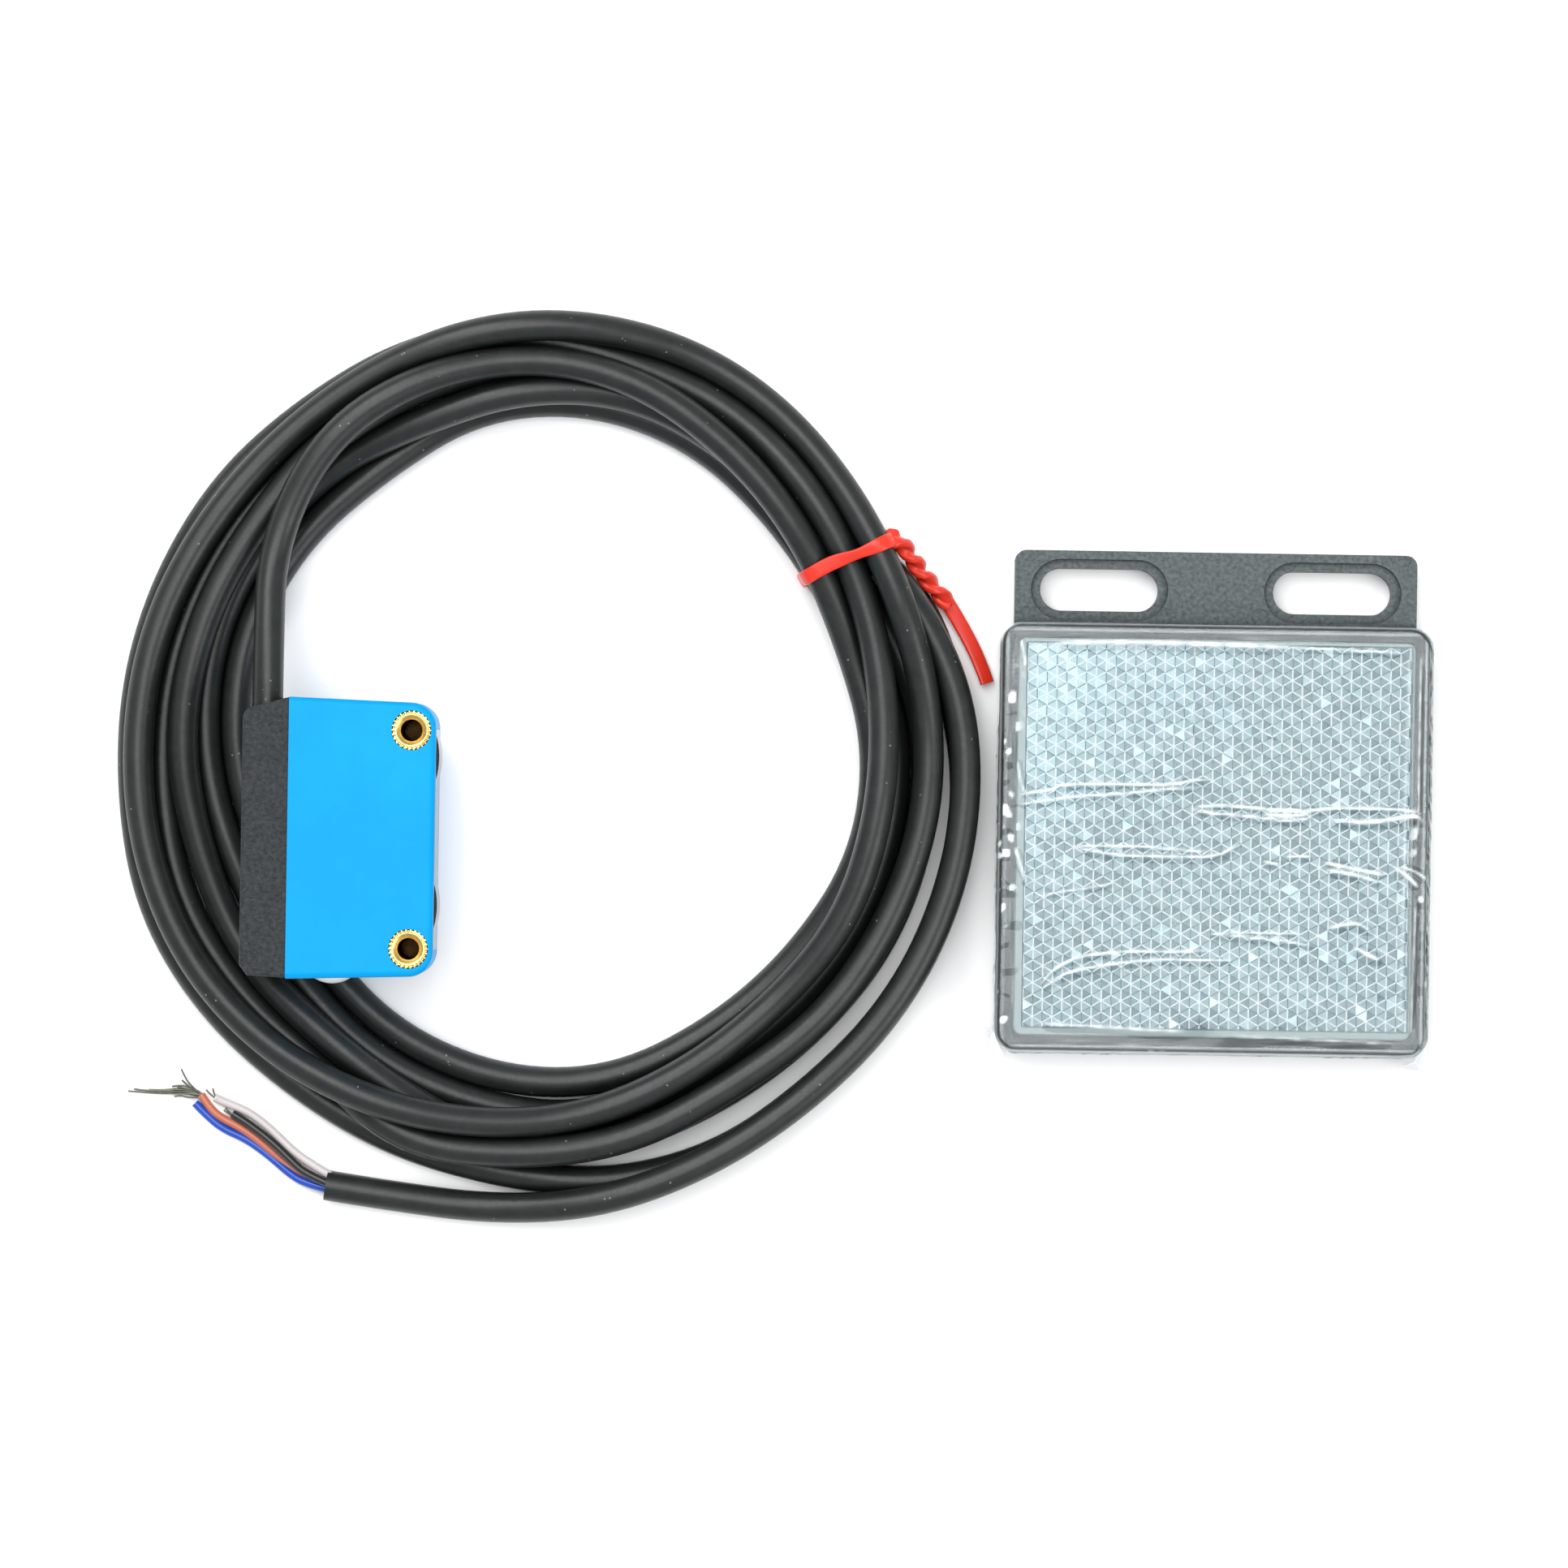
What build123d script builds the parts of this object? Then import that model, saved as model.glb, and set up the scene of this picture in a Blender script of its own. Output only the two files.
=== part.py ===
from build123d import *
import os, math

# Miniature retro-reflective photoelectric sensor with its lead and its prismatic reflector.
# All sizes in millimetres, +Z up. The sensor lies on its side on its coiled lead and the
# reflector lies beside it on the standing surface (z = 0).

# ---------------- driving dimensions ----------------
# sensor housing (X = depth, optics towards +X; Y = height; Z = thickness)
SEN_X, SEN_Y = -58.27, -5.61        # centre of the sensor in plan
SEN_W = 22.5                        # depth without the window bulge
SEN_L = 32.8                        # height
SEN_T = 12.0                        # thickness
SEN_Z = 5.6                         # lower side face, resting on the coil
TAPER = 0.55                        # each end draws in by this much from joint to front
COVER_W = 5.4                       # rear cover share of the depth
WALL = 1.2
CORNER_R = 2.9                      # front corners in plan
EDGE_R = 0.7                        # soft edge round the side faces
INS_PITCH = 25.4                    # distance of the two M3 inserts
INS_X_OFF = 8.40                    # insert axis from the sensor centre
INS_R = 2.3                         # knurl radius
INS_BORE = 1.25                     # M3 thread core radius
BOSS_R = 3.0
# reflector
REF_X, REF_Y = 44.07, -4.15         # centre of the prism body in plan
REF_B = 50.0                        # prism body side
REF_BT = 8.0                        # prism body height
BRK_T = 3.5                         # bracket thickness
BRK_W = 47.4
BRK_TOP = 33.75                     # bracket top edge from the body centre
SLOT_L, SLOT_W = 14.0, 5.0
SLOT_PITCH = 27.5
SLOT_Y = 29.15                      # slot centre line from the body centre
# lead
CORD_D = 3.6
CORE_D = 1.0

ZC = SEN_Z + SEN_T / 2
ZT = SEN_Z + SEN_T
XL = SEN_X - SEN_W / 2              # rear face
XR = SEN_X + SEN_W / 2              # front face
XB = XL + COVER_W                   # cover / shell joint
YT = SEN_Y + SEN_L / 2
YB = SEN_Y - SEN_L / 2
INS_X = SEN_X + INS_X_OFF

os.makedirs("parts", exist_ok=True)


def save(shape, name):
    solids = shape.solids()
    out = solids[0] if len(solids) == 1 else Compound(list(solids))
    export_step(out, "parts/" + name + ".step")
    print(name, len(solids), round(sum(s.volume for s in solids), 2))


def box(x0, x1, y0, y1, z0, z1):
    return Pos((x0 + x1) / 2, (y0 + y1) / 2, (z0 + z1) / 2) * Box(x1 - x0, y1 - y0, z1 - z0)


def cyl(x, y, z0, z1, r):
    return Pos(x, y, (z0 + z1) / 2) * Cylinder(r, z1 - z0)


def cyl_x(x0, x1, y, z, r):
    return Pos((x0 + x1) / 2, y, z) * Rot(0, 90, 0) * Cylinder(r, x1 - x0)


def cyl_y(x, y0, y1, z, r):
    return Pos(x, (y0 + y1) / 2, z) * Rot(90, 0, 0) * Cylinder(r, y1 - y0)


def prism(pts, z0, z1):
    f = make_face(Polyline(*[(p[0], p[1]) for p in pts], close=True))
    return Pos(0, 0, z0) * extrude(f, z1 - z0)


def plate(x0, x1, y0, y1, z0, z1, radii):
    # rectangle with its own radius at each corner: (x0,y0) (x1,y0) (x1,y1) (x0,y1)
    b = box(x0, x1, y0, y1, z0, z1)
    cs = [(x0, y0), (x1, y0), (x1, y1), (x0, y1)]
    for (cx, cy), r in zip(cs, radii):
        if r > 0:
            es = [e for e in b.edges().filter_by(Axis.Z)
                  if abs(e.center().X - cx) < 1e-3 and abs(e.center().Y - cy) < 1e-3]
            b = fillet(es, r)
    return b


# ---------------- housing shell (moulded, open at the rear) ----------------
shell = prism([(XB, YB), (XR, YB + TAPER), (XR, YT - TAPER), (XB, YT)], SEN_Z, ZT)
shell = fillet([e for e in shell.edges().filter_by(Axis.Z) if e.center().X > XR - 0.1], CORNER_R)
rim = [e for e in shell.edges() if (abs(e.center().Z - SEN_Z) < 1e-3 or abs(e.center().Z - ZT) < 1e-3)
       and e.center().X > XB + 0.01]
shell = fillet(rim, EDGE_R)
cavity = prism([(XB - 1, YB + WALL), (XR - WALL, YB + WALL + TAPER), (XR - WALL, YT - WALL - TAPER),
                (XB - 1, YT - WALL)], SEN_Z + WALL, ZT - WALL)
cavity = fillet([e for e in cavity.edges().filter_by(Axis.Z) if e.center().X > XR - WALL - 0.1], CORNER_R - WALL)
shell -= cavity
for s in (1, -1):
    shell += cyl(INS_X, SEN_Y + s * INS_PITCH / 2, SEN_Z + 0.3, ZT - 0.3, BOSS_R) & \
        box(XB, XR - 0.2, YB + 0.2, YT - 0.2, SEN_Z, ZT)
for s in (1, -1):
    shell -= cyl(INS_X, SEN_Y + s * INS_PITCH / 2, SEN_Z - 1, ZT + 1, INS_R)
# window opening in the front wall and its seat
WIN_Y0, WIN_Y1 = SEN_Y - 12.9, SEN_Y + 12.9
WIN_Z0, WIN_Z1 = SEN_Z + 1.7, ZT - 1.7
shell -= box(XR - 3.1, XR + 1, WIN_Y0 + 0.7, WIN_Y1 - 0.7, WIN_Z0 + 0.7, WIN_Z1 - 0.7) & \
    box(XR - 3.1, XR + 1, SEN_Y - INS_PITCH / 2 + BOSS_R + 0.2, SEN_Y + INS_PITCH / 2 - BOSS_R - 0.2, 0, 40) \
    + box(XR - WALL - 0.01, XR + 1, SEN_Y - 9.2, SEN_Y + 9.2, WIN_Z0 + 0.7, WIN_Z1 - 0.7)
shell -= box(XR - 0.5, XR + 1, WIN_Y0, WIN_Y1, WIN_Z0, WIN_Z1)
# lower end: round opening of the indicator dome and bore of the adjuster spindle
DOME_X = SEN_X - 0.75
DOME_R = 2.3
ADJ_X = SEN_X + 3.9
ADJ_R = 1.75
DOME_Y = YB + TAPER * (DOME_X - XB) / (XR - XB)     # outer face of the end wall at each axis
ADJ_Y = YB + TAPER * (ADJ_X - XB) / (XR - XB)
shell -= cyl_y(DOME_X, YB - 1, DOME_Y + WALL + 0.5, ZC, DOME_R)
shell -= cyl_y(ADJ_X, YB - 1, ADJ_Y + WALL + 0.5, ZC, ADJ_R)
save(shell, "housing_shell")

# ---------------- rear cover (textured, closes the shell, carries the cable outlet) ----------------
cov_pts = [(XL, YB + 1.6), (XL + 0.95, YB + 0.35), (XB - 0.02, YB + 0.12), (XB - 0.02, YT - 0.05), (XL, YT - 1.5)]
cover = prism(cov_pts, SEN_Z + 0.12, ZT - 0.12)
e1 = [e for e in cover.edges().filter_by(Axis.Z) if abs(e.center().X - XL) < 1e-3 and e.center().Y > 0]
cover = fillet(e1, 1.5)
rim = [e for e in cover.edges() if (abs(e.center().Z - SEN_Z - 0.12) < 1e-3 or abs(e.center().Z - ZT + 0.12) < 1e-3)
       and e.center().X < XB - 0.1]
cover = fillet(rim, 0.45)
cover -= box(XL + 0.65, XB + 1, YB + 1.7, YT - 3.4, SEN_Z + 1.3, ZT - 1.3)
# spigot lip that enters the shell
lip = box(XB - 0.5, XB + 1.0, YB + WALL + 0.12, YT - WALL - 0.12, SEN_Z + WALL + 0.05, ZT - WALL - 0.05) \
    - box(XB - 1.0, XB + 2.0, YB + 2.0, YT - 2.0, SEN_Z + 2.0, ZT - 2.0)
cover += lip
OUT_X = XL + 2.5                    # cable axis
OUT_R = 2.0
cover -= cyl_y(OUT_X, YT - 4.5, YT + 1, ZC, OUT_R)
save(cover, "rear_cover")

# cable seal and clamp inside the cover
seal_y0, seal_y1 = YT - 3.3, YT - 0.95
seal = cyl_y(OUT_X, YT - 3.4, YT - 1.2, ZC, OUT_R - 0.01) - cyl_y(OUT_X, YT - 5, YT + 1, ZC, CORD_D / 2 + 0.005)
save(seal, "cable_seal")
clamp_y0, clamp_y1 = YT - 6.2, YT - 4.6
clamp = box(XL + 0.68, XL + WALL + 3.6, clamp_y0, clamp_y1, ZC - 3.2, ZC + 3.2) \
    - cyl_y(OUT_X, YT - 8, YT, ZC, CORD_D / 2 + 0.005)
save(clamp, "cable_clamp")
# jacket end inside the cover: from the clamp to the outlet
stub = cyl_y(OUT_X, YT - 7.2, YT - 0.9, ZC, CORD_D / 2)
save(stub, "cable_end")

# ---------------- front window and lenses ----------------
win = box(XR - 0.5, XR, WIN_Y0 + 0.03, WIN_Y1 - 0.03, WIN_Z0 + 0.03, WIN_Z1 - 0.03)
for yo, hl in ((9.6, 2.5), (-7.7, 2.5)):
    R = (hl * hl + 0.34 ** 2) / (2 * 0.34)
    seg = cyl(XR + 0.34 - R, SEN_Y + yo, WIN_Z0 + 0.5, WIN_Z1 - 0.5, R) & \
        box(XR - 0.1, XR + 1, SEN_Y + yo - 3.2, SEN_Y + yo + 3.2, WIN_Z0 + 0.3, WIN_Z1 - 0.3)
    win = win + seg
save(win, "front_window")
LENS_X = XR - 0.72
for nm, yo in (("sender_lens", -5.6), ("receiver_lens", 5.6)):
    R = 6.0
    disc = cyl_x(LENS_X - 1.5, LENS_X, SEN_Y + yo, ZC, 3.35)
    dome = Pos(LENS_X - 1.5 + math.sqrt(R * R - 9.0) - 0.0, SEN_Y + yo, ZC) * Sphere(R) & \
        cyl_x(LENS_X - 4, LENS_X - 1.4, SEN_Y + yo, ZC, 3.0)
    save(disc + dome, nm)
for nm, yo in (("sender_polariser", -5.6), ("receiver_polariser", 5.6)):
    save(box(XR - 0.71, XR - 0.61, SEN_Y + yo - 3.3, SEN_Y + yo + 3.3, ZC - 3.3, ZC + 3.3), nm)

# ---------------- optics carrier: black block with two light channels ----------------
CAR_X0, CAR_X1 = XR - 11.2, XR - 1.35
car = box(CAR_X0, CAR_X1, SEN_Y - 9.5, SEN_Y + 9.5, SEN_Z + 1.35, ZT - 1.35)
for s in (1, -1):
    car -= cyl(INS_X, SEN_Y + s * INS_PITCH / 2, SEN_Z, ZT, BOSS_R + 0.1)
for yo in (-5.6, 5.6):
    car -= cyl_x(LENS_X - 1.55, XR, SEN_Y + yo, ZC, 3.37)
    cone = Pos((LENS_X - 1.5 + CAR_X0) / 2, SEN_Y + yo, ZC) * Rot(0, 90, 0) * Cone(1.3, 3.1, LENS_X - 1.5 - CAR_X0)
    car -= cone
    car -= cyl_x(CAR_X0 - 1, CAR_X0 + 1.7, SEN_Y + yo, ZC, 1.6)
car = car.solids().sort_by(SortBy.VOLUME)[-1]
save(car, "optics_carrier")

# ---------------- circuit board with its components ----------------
PCB_X0 = CAR_X0 - 1.05
pcb = box(PCB_X0, PCB_X0 + 1.0, YB + 2.4, YT - 1.9, SEN_Z + 1.6, ZT - 1.6)
save(pcb, "circuit_board")
save(cyl_x(PCB_X0 + 1.0, PCB_X0 + 2.4, SEN_Y - 5.6, ZC, 1.5) + Pos(PCB_X0 + 2.4, SEN_Y - 5.6, ZC) * Sphere(0.9),
     "sender_led")
save(box(PCB_X0 + 1.0, PCB_X0 + 2.2, SEN_Y + 4.55, SEN_Y + 6.65, ZC - 1.1, ZC + 1.1), "receiver_photodiode")
save(box(PCB_X0 - 1.0, PCB_X0, SEN_Y - 5.0, SEN_Y, ZC - 2.5, ZC + 2.5), "evaluation_chip")
save(box(PCB_X0 - 1.2, PCB_X0, SEN_Y - 9.0, SEN_Y - 6.8, ZC - 1.2, ZC + 1.2), "output_transistor")
# indicator lamps beneath the dome: two small chips as one node
save(box(PCB_X0 + 1.0, PCB_X0 + 1.7, YB + 3.0, YB + 4.4, ZC - 2.0, ZC - 0.6)
     + box(PCB_X0 + 1.0, PCB_X0 + 1.7, YB + 3.0, YB + 4.4, ZC + 0.6, ZC + 2.0), "indicator_lamps")

# indicator dome: light pipe with a flange inside the lower wall
DOME_H = 0.75
Rd = (DOME_R ** 2 + DOME_H ** 2) / (2 * DOME_H)
dome = cyl_y(DOME_X, DOME_Y, DOME_Y + WALL + 0.75, ZC, DOME_R - 0.02)
dome += (Pos(DOME_X, DOME_Y - DOME_H + Rd, ZC) * Sphere(Rd)) & cyl_y(DOME_X, YB - 2, DOME_Y + 0.1, ZC, DOME_R - 0.02)
dome += cyl_y(DOME_X, DOME_Y + WALL + 0.12, DOME_Y + WALL + 0.75, ZC, DOME_R + 0.25)
save(dome, "indicator_window")

# ---------------- sensitivity adjuster ----------------
pot_y = ADJ_Y + 3.1
pot = box(ADJ_X - 2.1, ADJ_X + 1.3, pot_y, pot_y + 1.5, ZC - 2.4, ZC + 2.4) - cyl_y(ADJ_X, pot_y - 1, pot_y + 0.9, ZC, 0.95)
save(pot, "adjuster_potentiometer")
SP_R = 1.45
spin = cyl_y(ADJ_X, ADJ_Y + 0.35, ADJ_Y + 2.4, ZC, SP_R) + cyl_y(ADJ_X, ADJ_Y + 2.3, pot_y + 0.8, ZC, 0.88)
spin -= box(ADJ_X - 2, ADJ_X + 2, ADJ_Y - 0.5, ADJ_Y + 1.05, ZC - 0.25, ZC + 0.25)
# small index notch that shows the setting
spin -= box(ADJ_X - 0.18, ADJ_X + 0.18, ADJ_Y - 0.5, ADJ_Y + 0.65, ZC + 0.5, ZC + 2)
save(spin, "adjuster_spindle")
ring = cyl_y(ADJ_X, ADJ_Y + 0.45, ADJ_Y + WALL + 0.6, ZC, ADJ_R - 0.01)
ring += cyl_y(ADJ_X, ADJ_Y + WALL + 0.22, ADJ_Y + WALL + 0.6, ZC, ADJ_R + 0.04)
ring -= cyl_y(ADJ_X, ADJ_Y - 1, ADJ_Y + 4, ZC, SP_R + 0.05)
save(ring, "adjuster_seal")

# ---------------- threaded brass inserts, one in each side face end ----------------
TEETH = 26
ins = None
for s in (1, -1):
    y = SEN_Y + s * INS_PITCH / 2
    pts = []
    for i in range(TEETH):
        a = 2 * math.pi * i / TEETH
        h = math.pi / TEETH
        for da, rr in ((-0.55 * h, INS_R - 0.16), (-0.2 * h, INS_R), (0.2 * h, INS_R), (0.55 * h, INS_R - 0.16)):
            pts.append((INS_X + rr * math.cos(a + da), y + rr * math.sin(a + da)))
    body = prism(pts, SEN_Z + 0.03, ZT - 0.03) - cyl(INS_X, y, SEN_Z + 1.5, 40, INS_BORE)
    body -= Pos(INS_X, y, ZT - 0.03 - 0.19) * Cone(INS_BORE, INS_BORE + 0.4, 0.4)
    ins = body if ins is None else ins + body
save(ins, "threaded_inserts")

# cable cores inside the cover, from the clamp to the board (one node, four wires)
wires = None
for k in range(4):
    dz = -1.2 + 0.8 * k
    yk = YT - 8.4 - 1.2 * k
    w = cyl_y(OUT_X, yk, YT - 7.2, ZC + dz, 0.36) + Pos(OUT_X, yk, ZC + dz) * Sphere(0.36) \
        + cyl_x(OUT_X, PCB_X0, yk, ZC + dz, 0.36)
    wires = w if wires is None else wires + w
save(wires, "inner_cores")

# ---------------- reflector ----------------
bx0, bx1 = REF_X - REF_B / 2, REF_X + REF_B / 2
by0, by1 = REF_Y - REF_B / 2, REF_Y + REF_B / 2
tray = plate(bx0, bx1, by0, by1, 0, REF_BT - 0.4, (2, 2, 2, 2))
tray = fillet([e for e in tray.edges() if abs(e.center().Z - REF_BT + 0.4) < 1e-3], 0.3)
brk = plate(REF_X - BRK_W / 2, REF_X + BRK_W / 2, REF_Y + 15, REF_Y + BRK_TOP, 0, BRK_T, (0, 0, 1.3, 1.3))
slots = None
rims = None
for s in (1, -1):
    cx, cy = REF_X + s * SLOT_PITCH / 2, REF_Y + SLOT_Y
    o = Pos(cx, cy, BRK_T) * extrude(SlotOverall(SLOT_L + 2.2, SLOT_W + 2.2), -0.55)
    i = Pos(cx, cy, -1) * extrude(SlotOverall(SLOT_L, SLOT_W), 10)
    slots = i if slots is None else slots + i
    rims = o if rims is None else rims + o
brk = brk - rims - slots
for px, py in ((-22.0, 33.4), (-6.2, 26.2), (5.2, 26.2), (22.0, 33.4)):
    brk -= Pos(REF_X + px, REF_Y + py, BRK_T) * Cylinder(1.0, 0.16)
tray = tray + brk
# pocket for the prism plate
PR_X0, PR_X1 = bx0 + 1.6, bx1 - 1.6
PR_Y0, PR_Y1 = by0 + 1.6, by1 - 1.6
tray -= plate(PR_X0, PR_X1, PR_Y0, PR_Y1, 2.0, 20, (1, 1, 1, 1))
save(tray, "reflector_housing")
# prism plate: clear front with corner cubes at its back, over an air gap
pl = plate(PR_X0 + 0.05, PR_X1 - 0.05, PR_Y0 + 0.05, PR_Y1 - 0.05, REF_BT - 2.9, REF_BT - 0.15, (1, 1, 1, 1))
frame_ring = plate(PR_X0 + 0.05, PR_X1 - 0.05, PR_Y0 + 0.05, PR_Y1 - 0.05, 2.0, REF_BT - 2.9, (1, 1, 1, 1)) \
    - plate(PR_X0 + 1.3, PR_X1 - 1.3, PR_Y0 + 1.3, PR_Y1 - 1.3, 1, 20, (0.5, 0.5, 0.5, 0.5))
save(pl + frame_ring, "prism_plate")
# clear film sleeve round the prism body, open where the bracket comes out
FT = 0.06
fo = plate(bx0 - 0.45, bx1 + 0.45, by0 - 0.45, by1 + 0.2, REF_BT + 0.3, REF_BT + 0.3 + FT, (1.5, 1.5, 1.5, 1.5))
save(fo, "film_wrap")

# ---------------- lead: free stretch from the outlet to the coil ----------------
def tube(points, d, name):
    vs = [Vector(*p) for p in points]
    radii = []
    for a, b, c in zip(vs, vs[1:], vs[2:]):
        ang = math.radians((b - a).get_angle(c - b))
        radii.append(0.45 * min((b - a).length, (c - b).length) / math.tan(ang / 2))
    print(name, "radii", [round(r, 1) for r in radii])
    path = FilletPolyline(*[tuple(v) for v in vs], radius=radii) if radii else Polyline(*[tuple(v) for v in vs])
    t0 = (vs[1] - vs[0])
    prof = Plane(origin=vs[0], z_dir=t0) * Circle(d / 2)
    s = sweep(prof, path=path)
    print(name, "volume / section x length", round(s.volume / (math.pi * d * d / 4 * path.length), 4),
          "length", round(path.length, 2))
    return s


LEAD = [(OUT_X, YT - 0.9, ZC), (OUT_X, YT + 5.0, ZC), (OUT_X - 0.1, YT + 16.7, ZC - 3.7)]
save(tube(LEAD, CORD_D, "cable_lead"), "cable_lead")

# coil: closed solid of its outer shape, higher where the turns lie three deep
OUTER = [(-37.6, 56.7), (-47.2, 55.0), (-56.7, 50.6), (-66.1, 43.7), (-70.9, 38.9), (-75.5, 33.0), (-80.2, 24.9),
         (-83.0, 17.1), (-84.1, 11.2), (-84.5, 2.0), (-84.2, -7.7), (-81.5, -17.3), (-78.6, -22.0), (-74.9, -26.7),
         (-69.8, -31.5), (-63.8, -36.1), (-56.2, -40.8), (-50.4, -43.2), (-45.6, -44.8), (-40.8, -46.4), (-37.0, -47.7),
         (-36.4, -50.6), (-31.2, -50.1), (-26.4, -49.1), (-21.6, -47.7), (-14.9, -44.9), (-7.0, -40.0), (-0.9, -35.1),
         (3.4, -30.3), (7.7, -25.4), (10.9, -20.6), (13.2, -15.8), (14.9, -10.0), (16.0, -6.2), (16.7, -1.4),
         (16.6, 3.6), (15.7, 10.6), (13.0, 18.6), (8.8, 26.1), (4.7, 32.1), (0.9, 38.0), (-3.9, 43.9), (-8.8, 48.5),
         (-13.6, 51.5), (-18.5, 53.8), (-23.3, 55.4), (-28.1, 56.5), (-32.9, 56.8)]
INNER = [(-65.9, 26.1), (-61.2, 30.9), (-56.4, 35.6), (-51.7, 39.0), (-47.0, 41.7), (-42.2, 43.6), (-37.5, 44.7),
         (-32.7, 45.0), (-27.9, 44.7), (-23.1, 43.6), (-18.3, 41.6), (-13.4, 38.6), (-8.6, 33.0), (-4.8, 28.0),
         (-0.6, 21.0), (1.3, 14.8), (2.6, 8.9), (2.9, 4.2), (2.6, -1.6), (1.6, -6.4), (-0.1, -11.2), (-2.8, -16.0),
         (-5.9, -20.9), (-12.2, -25.7), (-17.2, -28.5), (-21.9, -30.5), (-26.7, -31.8), (-31.5, -32.4),
         (-36.2, -32.5), (-41.0, -31.8), (-45.8, -29.9), (-50.7, -27.4), (-56.5, -22.3), (-60.9, -16.9),
         (-64.8, -11.3), (-67.8, -5.6), (-69.5, -0.8), (-70.3, 4.9), (-70.4, 11.6), (-69.6, 17.4), (-68.2, 22.2)]
COIL_LOW = 5.5                      # under the sensor
COIL_MID = 9.9
COIL_HIGH = 11.4
ring = prism(OUTER, 0, COIL_HIGH) - prism(INNER, -1, 20)
coil = ring - box(-75.5, -44, -26, 24, COIL_LOW, 30) - box(-100, -75.4, -100, 24, 7.4, 30) \
    - box(-75.6, 100, -100, 24, COIL_MID, 30)
save(coil, "cable_coil")

TAIL = [(-33.5, -48.9, 3.3), (-40.1, -49.3, 1.8), (-53.4, -47.7, 1.8), (-59.9, -46.7, 1.8)]
save(tube(TAIL, CORD_D, "cable_tail"), "cable_tail")

# four cores that come out of the stripped end, and the tinned strands of their ends
CORES = {
    "core_blue": [(-59.9, -47.5, 2.0), (-63.7, -46.0, 1.3), (-66.8, -43.9, 1.15), (-69.9, -42.0, 1.0),
                  (-72.3, -40.3, 0.7), (-75.6, -37.3, 0.55)],
    "core_white": [(-59.7, -45.7, 2.1), (-63.5, -43.0, 1.2), (-65.5, -40.8, 0.8), (-67.4, -39.3, 0.6),
                   (-69.9, -38.0, 0.65), (-73.3, -36.9, 1.2)],
    "core_black": [(-59.9, -46.6, 2.6), (-62.4, -45.3, 1.8), (-65.2, -43.4, 0.9), (-68.5, -40.8, 0.6),
                   (-70.5, -39.3, 0.55)],
    "core_brown": [(-59.8, -46.4, 1.2), (-65.0, -44.5, 0.55), (-69.9, -41.1, 0.5), (-72.9, -38.2, 0.5),
                   (-75.3, -36.1, 0.5)],
}
for nm, pts in CORES.items():
    save(tube(pts, CORE_D, nm), nm)
STRANDS = [[(-75.2, -36.3, 0.5), (-78.3, -35.8, 0.35), (-81.0, -36.2, 0.3), (-83.6, -36.1, 0.25)],
           [(-75.1, -36.0, 0.8), (-77.6, -35.3, 0.5), (-80.0, -35.6, 0.35), (-82.4, -35.3, 0.25)],
           [(-75.0, -35.8, 0.4), (-76.6, -35.0, 0.5), (-78.3, -33.8, 0.6)],
           [(-75.4, -36.7, 0.4), (-77.9, -36.6, 0.3), (-80.6, -37.0, 0.3)]]
fray = [tube(p, 0.28, "strand") for p in STRANDS]
fray = Compound([q for f in fray for q in f.solids()])
save(fray, "bare_strands")

# twist tie: flat coated wire over the bundle, twisted at the outer side, one end lying out
TIE_A, TIE_B = (-4.6, 25.7), (6.1, 31.9)
mx, my = (TIE_A[0] + TIE_B[0]) / 2, (TIE_A[1] + TIE_B[1]) / 2
tl = math.hypot(TIE_B[0] - TIE_A[0], TIE_B[1] - TIE_A[1])
ta = math.degrees(math.atan2(TIE_B[1] - TIE_A[1], TIE_B[0] - TIE_A[0]))
arch = Box(tl, 2.3, COIL_HIGH + 0.6, align=(Align.CENTER, Align.CENTER, Align.MIN)) \
    - Box(tl - 1.2, 3, COIL_HIGH + 0.05, align=(Align.CENTER, Align.CENTER, Align.MIN))
tie = Pos(mx, my, 0.05) * Rot(0, 0, ta) * arch
TIE_TAIL = [(5.9, 31.6, 4.2), (8.0, 28.6, 3.2), (10.6, 25.6, 1.7), (12.6, 22.9, 1.1), (14.9, 19.4, 1.0), (17.0, 14.9, 1.0)]
tail_parts = None
for k, (a, b) in enumerate(zip(TIE_TAIL, TIE_TAIL[1:])):
    va, vb = Vector(*a), Vector(*b)
    rr = 1.2 if k < 3 else 0.9
    seg = Plane(origin=va, z_dir=vb - va) * Pos(0, 0, (vb - va).length / 2) * Cylinder(rr, (vb - va).length)
    seg = seg + Pos(*b) * Sphere(rr)
    tie = tie + seg
save(tie, "twist_tie")
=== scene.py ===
import bpy, bmesh, math, random
from mathutils import Vector, Matrix, noise


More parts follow.
